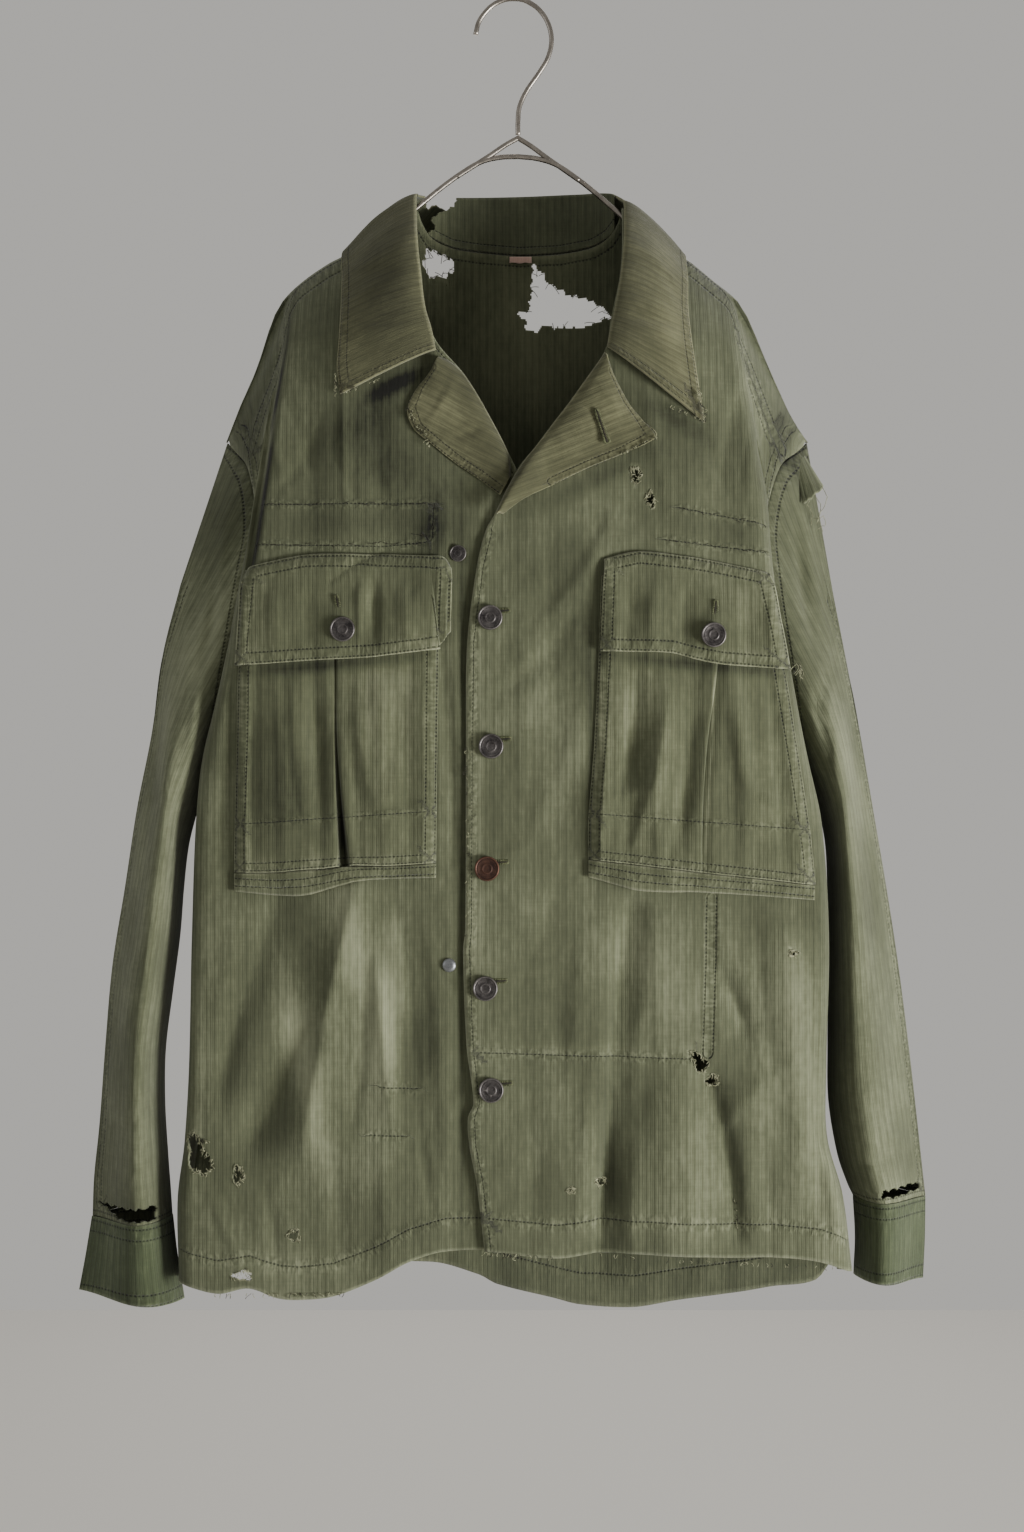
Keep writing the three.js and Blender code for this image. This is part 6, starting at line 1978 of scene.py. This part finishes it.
def tubes(paths: Sequence[Points], radii: Sequence[float], sides: int = 6) -> bmesh.types.BMesh:
    """Closed round tubes along paths of points.

    Args:
        paths: Arrays of points in millimetres.
        radii: Radius of each tube in millimetres.
        sides: Corners round each tube.

    Returns:
        One mesh with every tube.
    """
    mesh = bmesh.new()
    for path, radius in zip(paths, radii):
        path = np.asarray(path, dtype=float)
        along = np.gradient(path, axis=0)
        along /= np.linalg.norm(along, axis=1)[:, None] + 1e-9
        up = np.array([0.31, -0.22, 0.93])
        rings = []
        for point, way in zip(path, along):
            right = np.cross(way, up)
            if np.linalg.norm(right) < 0.05:
                right = np.cross(way, np.array([1.0, 0.1, 0.0]))
            right /= np.linalg.norm(right)
            other = np.cross(right, way)
            up = other
            ring = []
            for k in range(sides):
                a = 2.0 * math.pi * k / sides
                at = point + radius * (right * math.cos(a) + other * math.sin(a))
                ring.append(mesh.verts.new((at * MM).tolist()))
            rings.append(ring)
        for a, b in zip(rings, rings[1:]):
            for k in range(sides):
                n = (k + 1) % sides
                mesh.faces.new((a[k], a[n], b[n], b[k]))
        mesh.faces.new(rings[0][::-1])
        mesh.faces.new(rings[-1])
    bmesh.ops.recalc_face_normals(mesh, faces=mesh.faces)
    return mesh


@dataclass
class Fastenings:
    """Metal buttons with a generic ring relief, a small neck button and a rivet."""

    turns: int = 48
    rusty: str = "button_front_3"
    rivet_seat: tuple[float, float, float, float] = (-46.5, -718.0, 0.8, 5.0)
    profile: tuple[tuple[float, float], ...] = (
        (0.0, 0.0), (0.82, 0.0), (0.96, 0.05), (1.0, 0.16), (1.0, 0.26), (0.97, 0.34),
        (0.92, 0.37), (0.88, 0.355), (0.85, 0.32), (0.82, 0.3), (0.77, 0.3), (0.74, 0.315),
        (0.71, 0.3), (0.5, 0.29), (0.42, 0.295), (0.4, 0.315), (0.36, 0.32), (0.33, 0.3),
        (0.16, 0.3), (0.08, 0.305), (0.0, 0.305),
    )
    rivet: tuple[tuple[float, float], ...] = (
        (0.0, 0.0), (0.94, 0.0), (1.0, 0.06), (0.97, 0.16), (0.86, 0.3), (0.6, 0.42), (0.3, 0.46),
        (0.0, 0.45),
    )

    def turned(
        self, name: str, side: Side, x: float, z: float, lift: float, radius: float,
        profile: Sequence[Row], finish: str, slot: str,
    ) -> None:
        """Spins a profile and sets it square on a front.

        Args:
            name: The node that it replaces.
            side: The front that it is on.
            x: Place across.
            z: Height.
            lift: How far its back stands from the front.
            radius: Its radius.
            profile: Radius and height in shares of the radius.
            finish: Its finish.
            slot: Not used.
        """
        mesh = bmesh.new()
        corners = [mesh.verts.new((r * radius * MM, 0.0, h * radius * MM)) for r, h in profile]
        edges = [mesh.edges.new(pair) for pair in zip(corners, corners[1:])]
        bmesh.ops.spin(
            mesh, geom=corners + edges, cent=(0, 0, 0), axis=(0, 0, 1), angle=2.0 * math.pi,
            steps=self.turns, use_merge=True,
        )
        bmesh.ops.remove_doubles(mesh, verts=mesh.verts, dist=1e-6)
        bmesh.ops.recalc_face_normals(mesh, faces=mesh.faces)
        one = np.array([1.0])
        seat = on_front(side, x * one, z * one, lift * one)[0]
        out = on_front(side, x * one, z * one, (lift + 1.0) * one)[0] - seat
        turn = Vector((0.0, 0.0, 1.0)).rotation_difference(Vector(out.tolist()).normalized())
        shift = Matrix.Translation(Vector((seat * MM).tolist()))
        bmesh.ops.transform(mesh, matrix=shift @ turn.to_matrix().to_4x4(), verts=mesh.verts)
        piece = place_mesh(mesh, "worn_" + name, finish)
        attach(piece, "root")
        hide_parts(name)
        LOG.info("%s set at %.0f, %.0f", piece.name, x, z)

    def build(self) -> None:
        """Builds every button and the rivet."""
        for name, side, x, z, lift, radius in BUTTONS:
            finish = "rusty" if name == self.rusty else "button"
            self.turned(name, side, x, z, lift, radius, self.profile, finish, "button")
        self.turned("rivet", Side.RIGHT, *self.rivet_seat, self.rivet, "rivet", "rivet")


@dataclass
class Buttonholes:
    """Worked buttonholes: a keyhole of close stitches round a near-black tube along the slit, which
    paints the shade in the opening.
    """

    thread: float = 0.36
    stitch: float = 0.95
    # Radius of the near-black tube that paints the shade in a slit
    slit: float = 0.75

    def ring(self, start: Row, end: Row, half: float) -> Points:
        """Outline of a keyhole from its round end to its narrow end."""
        a, b = np.array(start, dtype=float), np.array(end, dtype=float)
        way = (b - a) / np.linalg.norm(b - a)
        square = np.array([-way[1], way[0]])
        length = float(np.linalg.norm(b - a))
        count = int(2.2 * length / self.stitch)
        places = []
        for i in range(count):
            t = i / count
            along = 0.5 - 0.5 * math.cos(2.0 * math.pi * t)
            width = half * (0.55 + 0.6 * math.exp(-((along * length / (1.6 * half)) ** 2)))
            side = math.sin(2.0 * math.pi * t)
            side = math.copysign(abs(side) ** 0.45, side)
            places.append(a + way * along * length + square * width * side)
        return np.array(places)

    def build(self) -> None:
        """Builds every buttonhole."""
        paths, slit_shade_paths = [], []
        for side, start, end, half, lift in BUTTONHOLES:
            ring = self.ring(start, end, half)
            near = np.roll(ring, -1, 0) - np.roll(ring, 1, 0)
            out = np.stack([near[:, 1], -near[:, 0]], -1)
            out /= np.linalg.norm(out, axis=1)[:, None] + 1e-6
            away = ring - (np.array(start) + np.array(end)) / 2.0
            out = np.where((np.sum(out * away, 1) < 0)[:, None], -out, out)
            steps = np.stack([ring + reach * out for reach in (-0.7, 0.0, 0.8)], 1)
            rise = np.tile(lift + np.array([0.05, 0.4, -0.1]), len(ring))
            points = on_front(side, steps[:, :, 0].ravel(), steps[:, :, 1].ravel(), rise)
            paths += list(points.reshape(-1, 3, 3))
            # A near-black tube along each slit: painted shade in the opening
            line = lerp(np.array(start), np.array(end), np.linspace(0.0, 1.0, 9)[:, None])
            slit_shade_paths.append(on_front(side, line[:, 0], line[:, 1], np.full(9, lift - 0.1)))
        ringed = tubes(paths, [self.thread] * len(paths), 5)
        stitches = place_mesh(ringed, "buttonhole_stitches", "worked")
        cut = tubes(slit_shade_paths, [self.slit] * len(slit_shade_paths), 8)
        slit = place_mesh(cut, "buttonhole_slit_shade", "dark_thread_and_slit_shade")
        for piece in (stitches, slit):
            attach(piece, "root")
            LOG.info("%s: %d faces", piece.name, len(piece.data.polygons))


@dataclass
class Hanger:
    """The bent wire hanger: hook, bar and the brace welded over it."""

    wire: float = 3.8
    middle: float = 3.4
    tilt: float = 0.03

    def smooth(self, line: Table, steps: int) -> Points:
        """A path of points through a table's rows, in the hanger's plane."""
        row = np.linspace(0.0, line.count - 1, steps)
        return np.stack([line.at("row", row, "x"), np.zeros(steps), line.at("row", row, "z")], -1)

    def both_sides(self, line: Table, steps: int) -> Points:
        """A bar from its right end to its left one, from a table of its left half."""
        half = self.smooth(line, steps)
        x, z = half[:, 0], half[:, 2]
        zero = np.zeros(steps)
        right = np.stack([self.middle - x, zero, z + self.tilt * x], -1)[::-1]
        left = np.stack([self.middle + x, zero, z - self.tilt * x], -1)
        return np.concatenate([right[:-1], left])

    def build(self) -> None:
        """Builds the hook and the frame."""
        hook = place_mesh(
            tubes([self.smooth(HOOK_LINE, 90)], [self.wire / 2.0], 16), "wire_hook", "wire"
        )
        frame_wire = place_mesh(
            tubes(
                [self.both_sides(BAR_LINE, 70), self.both_sides(BRACE_LINE, 36)],
                [self.wire / 2.0] * 2, 16,
            ),
            "wire_frame", "wire",
        )
        for piece, node in ((hook, "hanger_hook"), (frame_wire, "hanger_frame")):
            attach(piece, "root")
            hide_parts(node)
            LOG.info("%s: %d faces", piece.name, len(piece.data.polygons))


@dataclass
class Yarns:
    """Loose yarns round the holes and torn edges."""

    seed: int = 11
    back_strands: int = 22
    thickness: float = 0.22

    def round_hole(self, hole: dict[str, float], random: np.random.Generator) -> list[Points]:
        """Strands that stand in from a hole's rim, as rows of place, height and lift."""
        rim = worn_outline(hole, 40)
        strands = []
        t = np.linspace(0.0, 1.0, 5)
        for _ in range(int(10 + 1.6 * (hole["wide"] + hole["tall"]))):
            at = np.array(rim[random.integers(len(rim))])
            inward = np.array([hole["x"], hole["z"]]) - at
            inward = inward / (np.linalg.norm(inward) + 1e-6)
            turn = random.normal(0.0, 0.8)
            across = np.array([-inward[1], inward[0]])
            way = inward * math.cos(turn) + across * math.sin(turn)
            length = random.uniform(1.5, 4.0)
            sag = np.array([0.0, -1.0]) * random.uniform(0.0, 1.6)
            line = at - 0.6 * way + way * length * t[:, None] + sag * (t**2)[:, None]
            strands.append(np.column_stack([line, 0.2 + 0.8 * t - 0.6 * t**2]))
        return strands

    def round_back_holes(self, random: np.random.Generator) -> list[Points]:
        """Strands round the rims of the back's holes, as points in the frame."""
        strands = []
        t = np.linspace(0.0, 1.0, 6)
        for outline in BACK_HOLES:
            rim = ragged(outline, 1.5)
            middle = np.mean(rim, 0)
            for _ in range(self.back_strands):
                at = np.array(rim[random.integers(len(rim))])
                angle = math.atan2(*(middle - at)[::-1]) + random.normal(0.0, 0.9)
                way = np.array([math.cos(angle), math.sin(angle)]) * random.uniform(3.0, 9.0)
                line = at + way * (t - 0.1)[:, None] + np.array([0.0, -2.0]) * (t**2)[:, None]
                y = back_y(line[:, 0], line[:, 1]) - 0.7 - 0.6 * t
                strands.append(np.column_stack([line[:, 0], y, line[:, 1]]))
        return strands

    def along_edge(
        self, start: Row, end: Row, spread: float, lift: float, random: np.random.Generator
    ) -> Points:
        """One strand from a frayed edge, as rows of place, height and lift."""
        at = lerp(np.array(start), np.array(end), random.uniform())
        way = np.array([random.normal(0.0, 0.4), -1.0 if spread > 0 else 1.0])
        t = np.linspace(0.0, 1.0, 6)
        line = at + way * (abs(spread) * random.uniform(0.4, 1.0)) * t[:, None]
        line = line + np.array([1.0, 0.3]) * (random.normal(0.0, 1.2) * np.sin(2.6 * t))[:, None]
        return np.column_stack([line, lift + 1.2 * np.sin(math.pi * t)])

    def old_row(self, start: Row, end: Row, random: np.random.Generator) -> list[Points]:
        """Short stitches of an old row, uneven and with some missing."""
        a, b = np.array(start, dtype=float), np.array(end, dtype=float)
        length = float(np.linalg.norm(b - a))
        strands = []
        t = np.linspace(0.0, 1.0, 4)
        for place in np.arange(0.0, length - 4.0, 4.2):
            if random.uniform() < 0.3:
                continue
            first = a + (b - a) * place / length + random.normal(0.0, 0.5, 2)
            last = first + (b - a) / length * random.uniform(2.0, 4.4) + random.normal(0.0, 0.7, 2)
            line = lerp(first, last, t[:, None])
            strands.append(np.column_stack([line, 0.1 + 0.3 * t * (1.0 - t)]))
        return strands

    def on_cloth(self, side: Side, strands: Sequence[Points]) -> list[Points]:
        """Strands laid on a front."""
        if not strands:
            return []
        rows = np.concatenate(strands)
        points = on_front(side, rows[:, 0], rows[:, 1], rows[:, 2])
        return np.split(points, np.cumsum([len(s) for s in strands])[:-1])

    def build(self) -> None:
        """Builds the pale yarns and the dark threads of both fronts."""
        random = np.random.default_rng(self.seed)
        pale, dark = [], []
        for side in Side:
            light = [s for h in HOLES[side.value].records() for s in self.round_hole(h, random)]
            deep = []
            for where, start, end in OLD_THREAD:
                if where is side:
                    deep += self.old_row(start, end, random)
            for where, start, end, count, spread, lift in FRAYS:
                for i in range(count if where is side else 0):
                    strand = self.along_edge(start, end, spread, lift, random)
                    (deep if i % 3 == 0 else light).append(strand)
            pale += self.on_cloth(side, light)
            dark += self.on_cloth(side, deep)
        t = np.linspace(0.0, 3.0, 16)
        dark += self.round_back_holes(random)
        for line in HANGING:
            path = np.array(line, dtype=float)
            soft = [
                np.interp(t, range(4), path[:, k]) + 0.6 * np.sin(5.0 * t + k) for k in range(3)
            ]
            pale.append(np.stack(soft, -1))
        for name, paths, finish in (
            ("loose_yarns", pale, "thread"), ("loose_dark_threads", dark, "dark_thread_and_slit_shade"),
        ):
            piece = place_mesh(tubes(paths, [self.thickness] * len(paths), 4), name, finish)
            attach(piece, "root")
            LOG.info("%s: %d strands", name, len(paths))


@dataclass
class Studio:
    """Pale floor, soft key light from the right, weak fill and the camera."""

    floor_z: float = -1.62
    eye: tuple[float, float, float] = (-0.0011, -1.6, -0.5738)
    lens: float = 50.1
    sensor: float = 36.0
    floor_half: float = 4.0
    floor_forward: float = -1.5
    world_strength: float = 0.74
    # Name, place, aim, size, power and colour of each light
    lamps: tuple = (
        ("key", (2.15, -1.2, -1.2), (0.0, 0.0, -0.66), 0.8, 116.0, (1.0, 0.99, 0.96)),
        ("fill", (-2.6, -1.2, -0.1), (0.0, 0.0, -0.6), 1.8, 13.0, (0.97, 0.98, 1.0)),
        ("back_soft", (0.2, 2.6, 0.6), (0.0, 0.0, -0.5), 2.2, 24.0, (1.0, 1.0, 1.0)),
    )

    def light(
        self, name: str, place: Row, aim: Row, size: float, power: float, colour: Row
    ) -> bpy.types.Object:
        """Adds a square area light that looks at a place."""
        data = bpy.data.lights.new(name, "AREA")
        data.size = size
        data.energy = power
        data.color = colour
        lamp = bpy.data.objects.new(name, data)
        lamp.location = place
        way = Vector(aim) - Vector(place)
        lamp.rotation_euler = way.to_track_quat("-Z", "Y").to_euler()
        bpy.context.scene.collection.objects.link(lamp)
        return lamp

    def build(self) -> None:
        """Adds the floor, the lights, the world and the camera."""
        mesh = bmesh.new()
        bmesh.ops.create_grid(mesh, x_segments=1, y_segments=1, size=self.floor_half)
        place = (0.0, self.floor_forward, self.floor_z)
        bmesh.ops.translate(mesh, vec=place, verts=mesh.verts)
        g = Graph("pale_floor")
        g.finish(linear("d8d5cf"), Roughness=0.9)
        data = bpy.data.meshes.new("floor")
        mesh.to_mesh(data)
        mesh.free()
        data.materials.append(g.material)
        floor = bpy.data.objects.new("floor", data)
        bpy.context.scene.collection.objects.link(floor)
        lights = [self.light(*lamp) for lamp in self.lamps]
        world = bpy.data.worlds.new("studio")
        world.use_nodes = True
        backdrop = world.node_tree.nodes["Background"]
        backdrop.inputs[0].default_value = linear("d3d1cc")
        backdrop.inputs[1].default_value = self.world_strength
        bpy.context.scene.world = world
        camera_data = bpy.data.cameras.new("camera")
        camera_data.lens = self.lens
        camera_data.sensor_width = self.sensor
        camera_data.clip_start = 0.05
        camera = bpy.data.objects.new("camera", camera_data)
        camera.location = self.eye
        camera.rotation_euler = Euler((math.radians(90.0), 0.0, 0.0))
        bpy.context.scene.collection.objects.link(camera)
        bpy.context.scene.camera = camera
        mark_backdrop(floor, camera, *lights)
        LOG.info("studio set with %d lights", len(lights))


def save_size(name: str, sizes: dict[str, object]) -> None:
    """Keeps the bounds under a name."""
    low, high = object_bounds()
    sizes[name] = {"min": [float(v) for v in low], "max": [float(v) for v in high]}


def main() -> None:
    """Builds the jacket, its hanger and the studio."""
    sizes: dict[str, object] = {}
    save_size("cad", sizes)
    for part in (
        Hanger(), Body(), Sleeves(), Neck(), Pockets(), Fastenings(), Buttonholes(), Yarns(),
        Studio(),
    ):
        LOG.info("building %s", type(part).__name__)
        part.build()
    save_size("visual", sizes)


if __name__ == "__main__":
    main()
